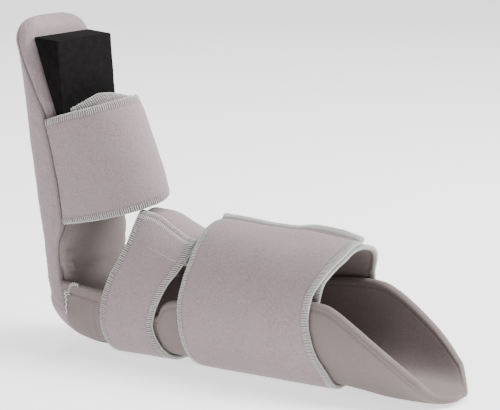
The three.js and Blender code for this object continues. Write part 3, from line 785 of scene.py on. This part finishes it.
# Heel gussets: the side walls of the heel cup, with a stitched hem along the top
gussetLook = {
    "hemRaise": 0.0005, "grooveDepth": 0.0006, "grooveWidth": 0.0009, "waviness": 0.0005,
    "hemStitch": {"pitch": 0.0023, "share": 0.55, "wide": 0.0005, "high": 0.0006},
    "hemGap": 0.0006, "hemFade": 0.001, "endRound": 0.0025, "endTaper": 0.08, "waveSize": 0.014,
    "wallLift": 0.0004, "zigzagLift": 0.0007, "grooveShadeShare": 0.5, "strapFade": 0.006,
    "foldLean": 0.12, "foldTop": (0.06, 0.045),
    "ankleStart": 0.040, "folds": ((0.0255, 0.0006), (0.0325, 0.0011)), "foldWidth": 0.0022,
    "binding": ((0.0165, 0.0622), (0.0125, 0.0634), (0.0088, 0.0630), (0.0064, 0.0604), (0.0052, 0.0566),
                (0.0046, 0.0522)),
    "bindingRadius": 0.0012, "wrapPitch": 0.0019, "wrapWide": 0.00036, "wrapHigh": 0.0003,
    "zigzag": ((0.0004, 0.0560), (0.0030, 0.0548), (-0.0002, 0.0534), (0.0026, 0.0520), (0.0006, 0.0500),
               (0.0032, 0.0486), (0.0010, 0.0462), (0.0030, 0.0440), (0.0012, 0.0408), (0.0030, 0.0385),
               (0.0020, 0.0352)),
    "zigzagRadius": 0.00036,
}


def gussetHalfWidth(x, z):
    toCentre = np.arctan2(heelCentreZ - z, heelCentreX - x)
    turn = np.clip((toCentre - lean) / (math.pi / 2 - lean), 0, 1)
    loop = loopSize(x)
    high = np.clip((z - loop["waist"]) / (loop["top"] - loop["waist"]), 0, 1)
    past = np.sqrt(1 - high * high) * coverHalfWidth(underStations(x), z - floorGap)
    reach = np.hypot(heelCentreX - x, heelCentreZ - z)
    heel = coverHalfWidth(heelStations(turn), heelRadius - reach)
    above = coverHalfWidth(backStations(np.full_like(x, heelStart)), 2 * backDepth)
    return np.where(x >= heelCentreX, past, np.where(turn <= 0, above, heel))


def gussetStations(u):  # the seam line from the back, round the heel and along the underside
    count = 14
    place = u * count
    hemHeight = gussetSizes["height"] - gussetSizes["hemDrop"]
    back = backStations(mix(hemHeight, heelStart, np.clip(place / 3, 0, 1)))
    heel = heelStations(np.clip((place - 3) / 8, 0, 1))
    past = np.clip((place - 11) / 3, 0, 1)
    under = underStations(mix(heelCentreX, footPanel["panelEnd"] - clearance, past))
    return {
        key: np.where(u < 3 / count, back[key], np.where(u < 11 / count, heel[key], under[key]))
        for key in back
    }


def gussetPoint(side, u, t, inward):  # u along the seam, t from the seam up to the hem
    u, t, inward = np.broadcast_arrays(u, t, inward)
    station = gussetStations(u)
    deep = seamDepth(station) + clearance
    lowX = station["x"] + station["inX"] * deep
    lowZ = station["z"] + station["inZ"] * deep
    first = backStations(np.array(gussetSizes["height"] - gussetSizes["hemDrop"]))
    startX, startZ = footSpot(gussetSizes["height"], seamDepth(first) + clearance - backDepth)
    highX = mix(startX, footPanel["panelEnd"] - clearance, u)
    highZ = mix(startZ, startZ - gussetSizes["hemDrop"], u)
    x = mix(lowX, highX, t)
    z = mix(lowZ, highZ, t)
    return placed(x, side * (gussetHalfWidth(x, z) - inward), z)


def makeGusset(name, node, side, look):
    thick = gussetSizes["thickness"]
    hemWidth = gussetSizes["hemWidth"]
    u = np.linspace(0, 1, 90)[:, None]
    t = spacing(gussetSizes["height"], [0, 0.0005, 0.001, 0.0018, 0.003], 0.0009)[None, :]
    middle = gussetPoint(side, u, t, thick / 2)
    top = gussetPoint(side, u, np.array([[1.0]]), thick / 2)
    fromTop = np.linalg.norm(middle - top, axis=-1)
    fromLow = np.linalg.norm(middle - middle[:, :1], axis=-1)
    fromEnds = np.minimum(u, 1 - u) * look["endTaper"] + 0 * t
    nearest = np.minimum(np.minimum(fromTop, fromLow + 0.001), fromEnds)
    half = thick / 2 * np.maximum(0.3, roundOff(nearest, look["endRound"]))
    place = middle[..., 0] + calfPart["restPlace"]
    free = 1 - softStep(look["ankleStart"] - look["strapFade"], look["ankleStart"], place)
    hem = (1 - softStep(hemWidth - look["hemFade"], hemWidth, fromTop)) * free
    groove = bump(fromTop, hemWidth + look["hemGap"], look["grooveWidth"]) * free
    out = look["hemRaise"] * hem - look["grooveDepth"] * groove
    for foldPlace, deep in look["folds"]:
        fromFold = place - foldPlace - look["foldLean"] * (middle[..., 2] - 0.03)
        low = softStep(*look["foldTop"], middle[..., 2])
        out = out - deep * bump(fromFold, 0, look["foldWidth"]) * low
    upright = middle * np.array([1.0, 1.0, 0.35])
    out += look["waviness"] * softNoise(upright, look["waveSize"], 17) * free
    outer = gussetPoint(side, u, t, thick / 2 - half - out)
    inner = gussetPoint(side, u, t, thick / 2 + half)
    # painted shade along the hem groove, on top of the groove pressed into the cloth
    piece = closedSheet(name, outer, inner, [liningCloth], np.clip(groove * look["grooveShadeShare"], 0, 1))
    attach(piece, "root")
    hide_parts(node)


def stitchRow(at, look, start=0.0, end=1.0):  # at(t, lift) gives a point on the cloth, lifted off it
    places, run = evenPlaces(lambda t: at(t, 0 * t), look["pitch"], start, end)
    scale = (end - start) / run
    along = np.linspace(-0.5, 0.5, 6) * look["pitch"] * look["share"] * scale
    lift = look["high"] * np.array([-1.6, 0.35, 0.75, 0.75, 0.35, -1.6])
    t = places[:, None] + along[None, :]
    lift = lift[None, :] + 0 * t
    paths = at(t, lift)
    normal = unit(at(t, lift + 0.001) - paths)
    forward = unit(np.gradient(paths, axis=1))
    return threadMesh(paths, np.cross(normal, forward), look["wide"], look["high"])


def makeGussetStitches(name, side, look):
    def hemLine(t, lift):
        low = gussetPoint(side, t, 0 * t, 0 * t)
        high = gussetPoint(side, t, 0 * t + 1, 0 * t)
        span = np.maximum(np.linalg.norm(high - low, axis=-1), 0.012)
        share = (gussetSizes["hemWidth"] + look["hemGap"]) / span
        return gussetPoint(side, t, 1 - share, -lift + look["grooveDepth"])

    def threads(part, bundle, finish):
        piece = makeThreads(name + part, [bundle], finish)
        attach(piece, "root")
        return piece

    threads("Hem", stitchRow(hemLine, look["hemStitch"], 0.3, 0.98), hemThread)
    binding = np.array(look["binding"])
    cord = wallPath(side, binding, 60, look["wallLift"], 12)
    piece = threads("Cord", cordAlong(cord, look["bindingRadius"]), liningCloth)
    path = wallPath(side, binding, 600, look["wallLift"], 120)
    threads("Binding", wrapsAlong(path, look, side), paleThread)
    zigzag = wallPath(side, np.array(look["zigzag"]), 160, look["zigzagLift"], 9)
    threads("Zigzag", cordAlong(zigzag, look["zigzagRadius"]), whiteThread)


def wallPath(side, corners, count, lift, rounding):  # a line over the heel wall through side-view places
    reach = travel(corners)
    place = np.linspace(0, reach[-1], count)
    kernel = np.hanning(rounding)
    kernel /= kernel.sum()
    margin = len(kernel) // 2

    def smoothed(values):
        values = np.pad(np.interp(place, reach, values), margin, "edge")
        return np.convolve(values, kernel, "same")[margin:-margin]

    x = smoothed(corners[:, 0])
    z = smoothed(corners[:, 1])
    return placed(x, side * (gussetHalfWidth(x, z) + lift), z)


def cordAlong(path, radius):
    helper = np.cross(unit(np.gradient(path, axis=0)), np.array([0.0, 1.0, 0.0]))
    return threadMesh(path[None], unit(helper)[None], radius, radius, 8)


def wrapsAlong(path, look, side):  # short half rings of thread over a cord
    reach = travel(path)
    places = np.arange(look["wrapPitch"] / 2, reach[-1], look["wrapPitch"])
    headings = unit(np.gradient(path, axis=0))
    centre = np.stack([np.interp(places, reach, path[:, k]) for k in range(3)], -1)
    forward = np.stack([np.interp(places, reach, headings[:, k]) for k in range(3)], -1)
    out = np.array([0.0, side, 0.0])
    across = unit(np.cross(forward, out))
    turns = np.linspace(-0.5, math.pi + 0.5, 8)
    radius = look["bindingRadius"] + 0.0001
    ring = np.stack([centre + radius * (math.cos(a) * across + math.sin(a) * out) for a in turns], 1)
    sideways = np.repeat(unit(forward)[:, None], len(turns), 1)
    return threadMesh(ring, sideways, look["wrapWide"], look["wrapHigh"])


makeGusset("heelGussetNear", "heel_gusset_near", -1, gussetLook)
makeGusset("heelGussetFar", "heel_gusset_far", 1, gussetLook)
makeGussetStitches("gussetStitchesNear", -1, gussetLook)
makeGussetStitches("gussetStitchesFar", 1, gussetLook)
print("heel gussets ready")

# Calf trough: a padded shell with a long tongue, open on top
troughLook = {
    "panelShare": 0.36, "wingShare": 0.66, "tailTip": 0.0005, "tailTipWidth": 0.08, "tailFlare": 4,
    "tailThinning": 0.94, "stitchInset": 0.0062, "grooveDepth": 0.0006, "grooveWidth": 0.0011,
    "waviness": 0.0006, "stitch": {"pitch": 0.0029, "share": 0.62, "wide": 0.00032, "high": 0.00022},
    "stitchRun": (0.02, 0.93), "halfGirth": 0.186, "waveSize": 0.035, "waveFrom": 0.012, "grooveShadeShare": 0.4,
}
wingTable = {
    "at": [0.166, 0.27, 0.282, 0.3, 0.34, 0.5, 0.69, 0.72, 0.76, 0.81, 0.86, 0.9, 0.94, 0.97, 0.99, 1.0],
    "rim": [0.5, 0.55, 0.67, 0.73, 0.77, 0.88, 0.99, 0.98, 0.915, 0.78, 0.62, 0.47, 0.29, 0.16, 0.06, 0.01],
}


def turnAtHeight(x, height):
    size = loopSize(x)
    low = np.clip((height - size["bottom"]) / (size["waist"] - size["bottom"]), 0, 1)
    high = np.clip((height - size["waist"]) / (size["top"] - size["waist"]), 0, 1)
    flatShare = calfPart["flatShare"]
    waistShare = calfPart["waistShare"]
    below = flatShare + (waistShare - flatShare) * np.arccos(1 - low) / (math.pi / 2)
    above = waistShare + (1 - waistShare) * np.arcsin(high) / (math.pi / 2)
    return np.where(height <= size["waist"], below, above)


def rimTurn(x):
    rim = readTable(wingTable, "rim", x / calfPart["length"]) * calfPart["wingHeight"]
    tip = np.sqrt(np.clip(1 - x / calfPart["length"], 0, 1))
    narrow = np.minimum(1, troughLook["tailTipWidth"] + troughLook["tailFlare"] * tip)
    return turnAtHeight(x, loopSize(x)["bottom"] + rim) * narrow


def troughSpot(t, v, inward):
    wing = softStep(troughLook["panelShare"], troughLook["wingShare"], np.abs(v))
    start = mix(footPanel["panelEnd"], calfPart["wingStart"], wing)
    x = mix(start, calfPart["length"] - troughLook["tailTip"], t)
    return loopOffset(x, v * rimTurn(x), -inward), x


def makeTrough(look):
    t = spacing(0.30, [0, 0.0006, 0.0014, 0.0026, 0.0045], 0.0024)[:, None]
    v = spacing(0.25, [0, 0.0004, 0.001, 0.0018, 0.003, 0.0045], 0.0017)[None, :] * 2 - 1
    middle, x = troughSpot(t, v, np.full((t.size, v.size), calfPart["wall"] / 2))
    run = travel(middle, 1)
    fromHeel = travel(middle, 0)
    fromRim = np.minimum(run, run[:, -1:] - run)
    fromTip = fromHeel[-1:] - fromHeel
    tail = np.clip(1 - (calfPart["length"] - x) / calfPart["tailTaper"], 0, 1)
    full = calfPart["wall"] * np.sqrt(1 - look["tailThinning"] * tail * tail)
    nearest = np.minimum(np.minimum(fromRim, fromHeel), fromTip)
    wall = full * np.maximum(0.2, roundOff(nearest, full / 2))
    groove = bump(nearest, look["stitchInset"], look["grooveWidth"]) * (1 - tail)
    dip = look["grooveDepth"] * groove
    waves = look["waviness"] * softNoise(middle, look["waveSize"], 23) * softStep(0, look["waveFrom"], nearest)
    lift = (full - wall) / 2
    outer = troughSpot(t, v, lift + dip + np.clip(waves, 0, 1))[0]
    inner = troughSpot(t, v, lift + wall - dip + waves)[0]
    # painted shade along the stitched groove by the rim, on top of the groove pressed into the cloth
    piece = closedSheet("calfTrough", outer, inner, [liningCloth], np.clip(groove * look["grooveShadeShare"], 0, 1))
    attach(piece, "root")
    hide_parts("calf_trough")
    rows = []
    for side in (-1, 1):
        def line(s, lift):
            spot = mix(*look["stitchRun"], s)
            place = troughSpot(spot, side * np.ones_like(s), 0 * s)[1]
            share = look["stitchInset"] / np.maximum(0.02, look["halfGirth"] * rimTurn(place))
            return troughSpot(spot, side * (1 - share), look["grooveDepth"] - lift)[0]
        rows.append(stitchRow(line, look["stitch"]))
    piece = makeThreads("troughStitches", rows, hemThread)
    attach(piece, "root")


makeTrough(troughLook)
print("calf trough ready")

# Straps: bands of foam-backed brushed cloth with overlocked edges, each band in two pieces
calfEdgeTable = {
    "at": [0.0, 0.26, 0.39, 0.5, 0.6, 0.7, 0.78, 0.87, 1.1],
    "start": [0.03, -0.01, -0.015, -0.015, 0.008, 0.03, 0.036, 0.034, 0.1],
    "end": [0.06, 0.08, 0.02, -0.01, 0.0, 0.05, 0.09, 0.12, 0.12],
}
ankleEdgeTable = {
    "at": [0.0, 0.3, 0.4, 0.47, 0.52, 0.6, 0.67, 0.755, 0.9, 1.1],
    "start": [-0.12, -0.03, -0.02, 0.0, 0.03, 0.14, 0.28, 0.36, 0.34, 0.32],
    "end": [0.15, 0.02, -0.01, 0.06, 0.15, 0.3, 0.44, 0.53, 0.56, 0.54],
}
forefootEdgeTable = {
    "at": [0.0, 0.1, 0.2, 0.5, 0.75, 1.0],
    "start": [0.0, 0.01, 0.03, 0.12, 0.19, 0.2],
    "end": [0.0, 0.035, 0.065, 0.12, 0.11, 0.1],
}
outerLayer = clearance
innerLayer = -strapCloth["thickness"]
strapJoin = -0.12
joinGap = 0.004


calfStrap = {
    "width": 0.128, "start": 0.126, "outerEnd": 1.03, "innerEnd": -1.48, "dip": (0.66, 0.92), "tuck": 0.12,
}
ankleStrap = {
    "width": 0.053, "start": 0.042, "outerEnd": 0.91, "innerEnd": -1.28, "dip": (0.62, 0.9),
    "endSkew": 0.048,
}
forefootStrap = {
    "width": 0.092, "top": 0.187, "arch": 0.070, "archAtHeel": 1.33, "archAtTop": 0.89,
    "outerEnd": 0.72, "innerEnd": 0.14, "dip": (0.74, 0.94),
    "shift": 0.009, "shiftStart": (0.1, 0.34), "shiftShare": 0.3, "shiftEnd": (0.3, 0.6),
}


def bandEdges(table, strap):
    def edges(turn):
        at = np.where(np.abs(turn) > 1, 2 - np.abs(turn), np.abs(turn))
        start = strap["start"] + readTable(table, "start", at) * strap["width"]
        return start, strap["start"] + strap["width"] * (1 + readTable(table, "end", at))

    return edges


def calfInnerLayer(turn, x):
    dip = mix(outerLayer, innerLayer, softStep(*calfStrap["dip"], -turn))
    tuck = 1 - softStep(0, calfStrap["tuck"], 2 + turn - rimTurn(x))
    return np.where(turn > -1, dip, innerLayer - (calfPart["wall"] + clearance) * tuck)


def ankleInnerLayer(turn, x):
    return mix(outerLayer, innerLayer, softStep(*ankleStrap["dip"], -turn))


def forefootEdges(turn):
    low = forefootStrap["top"] - forefootStrap["width"] * (1 - readTable(forefootEdgeTable, "start", turn))
    return low, forefootStrap["top"] + forefootStrap["width"] * readTable(forefootEdgeTable, "end", turn)


def forefootInnerEdges(turn):
    low, high = forefootEdges(turn)
    rise = mix(forefootStrap["shiftShare"], 1, softStep(*forefootStrap["shiftStart"], turn))
    shift = forefootStrap["shift"] * rise * (1 - softStep(*forefootStrap["shiftEnd"], turn))
    return low + shift, high + shift


def forefootInnerLayer(turn, along):
    return mix(innerLayer, outerLayer, softStep(*forefootStrap["dip"], turn))


def archSurface(along, turn, offset):  # turn: 0 at the near seam, 1 at the far seam
    half = footValue("cushionWidth", along) * footPanel["width"] / 2 + clearance
    foot = seamDepth(backStations(along)) + clearance - backDepth
    tall = forefootStrap["arch"] * mix(
        forefootStrap["archAtHeel"], forefootStrap["archAtTop"], along / forefootStrap["top"])
    angle = turn * math.pi
    normalAcross = -np.cos(angle) / half
    normalOut = np.sin(angle) / tall
    size = np.hypot(normalAcross, normalOut)
    across = -half * np.cos(angle) + normalAcross / size * offset
    x, z = footSpot(along, foot + tall * np.sin(angle) + normalOut / size * offset)
    return placed(x, across, z)


def outermost(turn, along):
    return outerLayer + 0 * along


def flat(w, v):
    return 0 * w * v


calfLipTable = {
    "at": [0.0, 0.16, 0.33, 0.5, 0.67, 0.84, 1.0],
    "stand": [0.0038, 0.0034, 0.0027, 0.0026, 0.005, 0.006, 0.0022],
    "bulge": [0.0, 0.0, 0.0, 0.0008, 0.0026, 0.001, -0.0002],
}


calfLipShape = {
    "edgeFrom": 0.964, "edge": 0.036, "sharpness": 1.3, "bulgeFrom": (0.86, 0.97),
    "dent": 0.0008, "dentPlace": 0.962, "dentWidth": 0.006,
}
ankleLipShape = {"height": 0.0012, "from": (0.9, 1.0)}


def calfLip(w, v):  # the free end stands up in a wavy welt over a slight bulge
    shape = calfLipShape
    rise = np.clip((w - shape["edgeFrom"]) / shape["edge"], 0, 1) ** shape["sharpness"]
    bulge = readTable(calfLipTable, "bulge", v) * softStep(*shape["bulgeFrom"], w)
    dent = shape["dent"] * bump(w, shape["dentPlace"], shape["dentWidth"])
    return readTable(calfLipTable, "stand", v) * rise + bulge - dent


def ankleLip(w, v):
    return ankleLipShape["height"] * softStep(*ankleLipShape["from"], w)


forefootBand = {"surface": archSurface, "lip": flat, "layer": outermost}
ankleBand = {
    "surface": ankleSurface, "lip": flat, "layer": outermost, "edges": bandEdges(ankleEdgeTable, ankleStrap),
}
calfBand = {
    "surface": calfSurface, "lip": flat, "layer": outermost, "edges": bandEdges(calfEdgeTable, calfStrap),
    "pitch": 0.0013,
}
strapPieces = [
    {**forefootBand, "name": "forefootStrapInner", "node": "forefoot_strap_inner", "seed": 31,
     "from": 1.0, "to": forefootStrap["innerEnd"], "edges": forefootInnerEdges, "layer": forefootInnerLayer},
    {**forefootBand, "name": "forefootStrapOuter", "node": "forefoot_strap_outer", "seed": 32,
     "from": 0.0, "to": forefootStrap["outerEnd"], "edges": forefootEdges},
    {**ankleBand, "name": "ankleStrapInner", "node": "ankle_strap_inner", "seed": 33,
     "from": strapJoin - joinGap, "to": ankleStrap["innerEnd"], "layer": ankleInnerLayer},
    {**ankleBand, "name": "ankleStrapOuter", "node": "ankle_strap_outer", "seed": 34,
     "from": strapJoin, "to": ankleStrap["outerEnd"], "lip": ankleLip,
     "endSkew": ankleStrap["endSkew"], "secondRow": True},
    {**calfBand, "name": "calfStrapInner", "node": "calf_strap_inner", "seed": 35,
     "from": strapJoin - joinGap, "to": calfStrap["innerEnd"], "layer": calfInnerLayer},
    {**calfBand, "name": "calfStrapOuter", "node": "calf_strap_outer", "seed": 36,
     # crease: place of the painted shade line below the welt, measured from the free end
     "from": strapJoin, "to": calfStrap["outerEnd"], "lip": calfLip, "crease": 0.0074},
]
overlock = {
    "pitch": 0.00187, "reach": 0.0052, "wide": 0.00029, "high": 0.0003, "jitter": 0.06, "unevenness": 0.00012,
    "inward": [1.0, 0.96, 0.72, 0.42, 0.16, -0.1, -0.1, 0.16, 0.5, 0.85],
    "face": [0.6, 1, 1, 1, 1, 0.6, -0.6, -1, -1, -1],
    "slant": [-0.35, -0.25, -0.1, 0.0, 0.1, 0.15, 0.2, 0.3, 0.4, 0.5],
    "cordWide": 0.0004, "cordHigh": 0.0007, "cordInset": 0.0001, "cordSide": 0.0011, "lift": 0.6,
    "secondInward": [1.2, 1.26, 1.45, 1.7, 1.9, 1.96],
    "secondLift": [-1, 0.6, 0.9, 0.9, 0.6, -1], "secondSpan": 0.2,
}
strapLook = {
    "step": 0.0024, "edges": [0, 0.0003, 0.0008, 0.0016, 0.003, 0.0046, 0.006, 0.0078, 0.01],
    "waviness": 0.0005, "waveSize": 0.03, "puffFrom": (0.004, 0.02), "pressedBelow": 0.012,
    "joinRound": 0.001, "bandShadeShare": 0.62, "bandFade": 0.0012, "creaseShadeShare": 0.9, "creaseWidth": 0.0011,
}


def strapAt(strap, w, v, height):  # w along the strap, v across it, height above its middle
    w, v = np.broadcast_arrays(w, v)
    turn = mix(strap["from"], strap["to"], w) - v * strap.get("endSkew", 0) * w * w
    start, end = strap["edges"](turn)
    along = mix(start, end, v)
    base = strap["layer"](turn, along) + strapCloth["thickness"] / 2 + strap["lip"](w, v)
    return strap["surface"](along, turn, base + height)


def strapHalf(inward):
    edge = np.maximum(0.25, roundOff(inward, strapCloth["edgeRound"]))
    free = softStep(overlock["reach"] - 0.001, overlock["reach"] + 0.003, inward)
    return strapCloth["thickness"] / 2 * edge * mix(strapCloth["pressed"], 1, free)


def lineLength(line):
    return float(np.sum(np.linalg.norm(np.diff(line, axis=0), axis=1)))


def makeStrap(strap, look):
    t = np.linspace(0, 1, 200)
    run = lineLength(strapAt(strap, t, 0.5 + 0 * t, 0 * t))
    width = lineLength(strapAt(strap, 0.5 + 0 * t, t, 0 * t))
    w = spacing(run, look["edges"], look["step"])[:, None]
    v = spacing(width, look["edges"], look["step"])[None, :]
    fromEdge = np.minimum(v, 1 - v) * width + 0 * w
    fromTip = (1 - w) * run + 0 * v
    fromJoin = w * run + 0 * v
    half = np.minimum(strapHalf(fromEdge), strapHalf(fromTip))
    join = np.maximum(0.4, roundOff(fromJoin, look["joinRound"]))
    half = np.minimum(half, strapCloth["thickness"] / 2 * join)
    middle = strapAt(strap, w, v, 0 * w * v)
    nearest = np.minimum(fromEdge, fromTip)
    inside = softStep(*look["puffFrom"], nearest)
    waves = look["waviness"] * softNoise(middle, look["waveSize"], strap["seed"])
    under = np.clip(middle[..., 2] / look["pressedBelow"], 0, 1)
    puff = (strapCloth["puff"] + waves) * inside * under
    outer = strapAt(strap, w, v, half + puff)
    inner = strapAt(strap, w, v, -half)
    # painted shade on the overlocked band along the edges and end, and on the calf strap's free end a painted
    # shade line below the welt
    band = 1 - softStep(overlock["reach"], overlock["reach"] + look["bandFade"], nearest)
    paintedShade = look["bandShadeShare"] * band
    if "crease" in strap:
        paintedShade = np.maximum(paintedShade, look["creaseShadeShare"] * bump(fromTip, strap["crease"], look["creaseWidth"]))
    piece = closedSheet(strap["name"], outer, inner, [brushedCloth, liningCloth], paintedShade)
    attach(piece, "root")
    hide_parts(strap["node"])
    makeOverlock(strap, run, width)


def makeOverlock(strap, run, width):
    def atStart(t, inward, height):
        return strapAt(strap, t, inward / width, height)

    def atEnd(t, inward, height):
        return strapAt(strap, t, 1 - inward / width, height)

    def atTip(t, inward, height):
        return strapAt(strap, 1 - inward / run, t, height)

    def threads(at, t, inward, height, pitch):
        sideways = at(t + 0.2 * pitch, inward, height) - at(t - 0.2 * pitch, inward, height)
        return threadMesh(at(t, inward, height), unit(sideways), overlock["wide"], overlock["high"])

    def row(name):
        return np.array(overlock[name])[None, :]

    dice = np.random.default_rng(strap["seed"])
    bundles = []
    step = strap.get("pitch", overlock["pitch"])
    for at in (atStart, atEnd, atTip):
        places, length = evenPlaces(lambda t: at(t, 0 * t, 0 * t), step)
        places = places[:, None]
        pitch = step / length
        jitter = dice.normal(size=places.shape) * overlock["jitter"] * pitch
        t = np.clip(places + jitter + row("slant") * pitch, 0.0005, 0.9995)
        inward = row("inward") * overlock["reach"] + 0 * t
        inward = inward + dice.normal(size=places.shape) * overlock["unevenness"]
        height = row("face") * (strapHalf(np.maximum(inward, 0)) + overlock["high"] * overlock["lift"])
        bundles.append(threads(at, t, inward, height, pitch))
        line = np.linspace(0, 1, 260)
        cord = at(line, overlock["cordInset"] + 0 * line, 0 * line)
        side = at(line, overlock["cordSide"] + 0 * line, 0 * line) - cord
        bundles.append(threadMesh(cord[None], side[None], overlock["cordWide"], overlock["cordHigh"], 8))
        if strap.get("secondRow") and at is atTip:
            inward = row("secondInward") * overlock["reach"] + 0 * places
            height = strapHalf(inward) + row("secondLift") * overlock["high"]
            t = places + np.linspace(-1, 1, 6)[None, :] * overlock["secondSpan"] * pitch
            bundles.append(threads(at, t, inward, height, pitch))
    piece = makeThreads(strap["name"] + "Overlock", bundles, paleThread)
    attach(piece, "root")


for strapPiece in strapPieces:
    makeStrap(strapPiece, strapLook)
    print(strapPiece["name"], "ready")

tapeStitchLook = {
    "w": 0.839, "from": 0.36, "to": 0.9, "pitch": 0.0026, "share": 0.6, "wide": 0.00026, "high": 0.0002,
    "lift": 0.0004,
}


def makeTapeStitches(look):  # the short row that holds the fastening tape under the ankle strap's end
    strap = next(piece for piece in strapPieces if piece["name"] == "ankleStrapOuter")

    def line(v, lift):
        return strapAt(strap, look["w"] + 0 * v, v, strapCloth["thickness"] / 2 + look["lift"] + lift)

    piece = makeThreads("ankleTapeStitches", [stitchRow(line, look, look["from"], look["to"])], paleThread)
    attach(piece, "root")


makeTapeStitches(tapeStitchLook)

# Studio: a pale floor and soft lights
studio = {
    "floorSize": 14.0, "floorColour": (0.9, 0.9, 0.9), "floorGlow": 1.2,
    "world": (1.0, 1.0, 1.0), "worldStrength": 0.4, "aim": (-0.03, 0, 0.12),
    "lights": [
        {"name": "keyLight", "place": (1.5, 1.0, 1.75), "size": 1.2, "watts": 118},
        {"name": "frontLight", "place": (-1.1, -1.9, 1.4), "size": 1.8, "watts": 13},
        {"name": "topLight", "place": (-0.2, 0.5, 2.3), "size": 1.4, "watts": 44},
    ],
}


def makeStudio(setup):
    half = setup["floorSize"] / 2
    mesh = bpy.data.meshes.new("floor")
    corners = [(-half, -half, 0), (half, -half, 0), (half, half, 0), (-half, half, 0)]
    mesh.from_pydata(corners, [], [(0, 1, 2, 3)])
    finish = bpy.data.materials.new("floorFinish")
    finish.use_nodes = True
    fillInputs(finish, finish.node_tree.nodes["Principled BSDF"], {
        "Base Color": setup["floorColour"], "Roughness": 0.9, "Specular IOR Level": 0.1,
        "Emission Color": (1, 1, 1), "Emission Strength": setup["floorGlow"],
    })
    mesh.materials.append(finish)
    floor = addObject("floor", mesh)
    world = bpy.data.worlds.new("studioWorld")
    world.use_nodes = True
    sky = world.node_tree.nodes["Background"]
    fillInputs(world, sky, {"Color": setup["world"], "Strength": setup["worldStrength"]})
    bpy.context.scene.world = world
    aim = Vector(setup["aim"])
    for lamp in setup["lights"]:
        data = bpy.data.lights.new(lamp["name"], "AREA")
        data.size = lamp["size"]
        data.energy = lamp["watts"]
        light = addObject(lamp["name"], data)
        light.location = lamp["place"]
        light.rotation_mode = "QUATERNION"
        light.rotation_quaternion = (aim - Vector(lamp["place"])).to_track_quat("-Z", "Y")


makeStudio(studio)
print("studio ready")
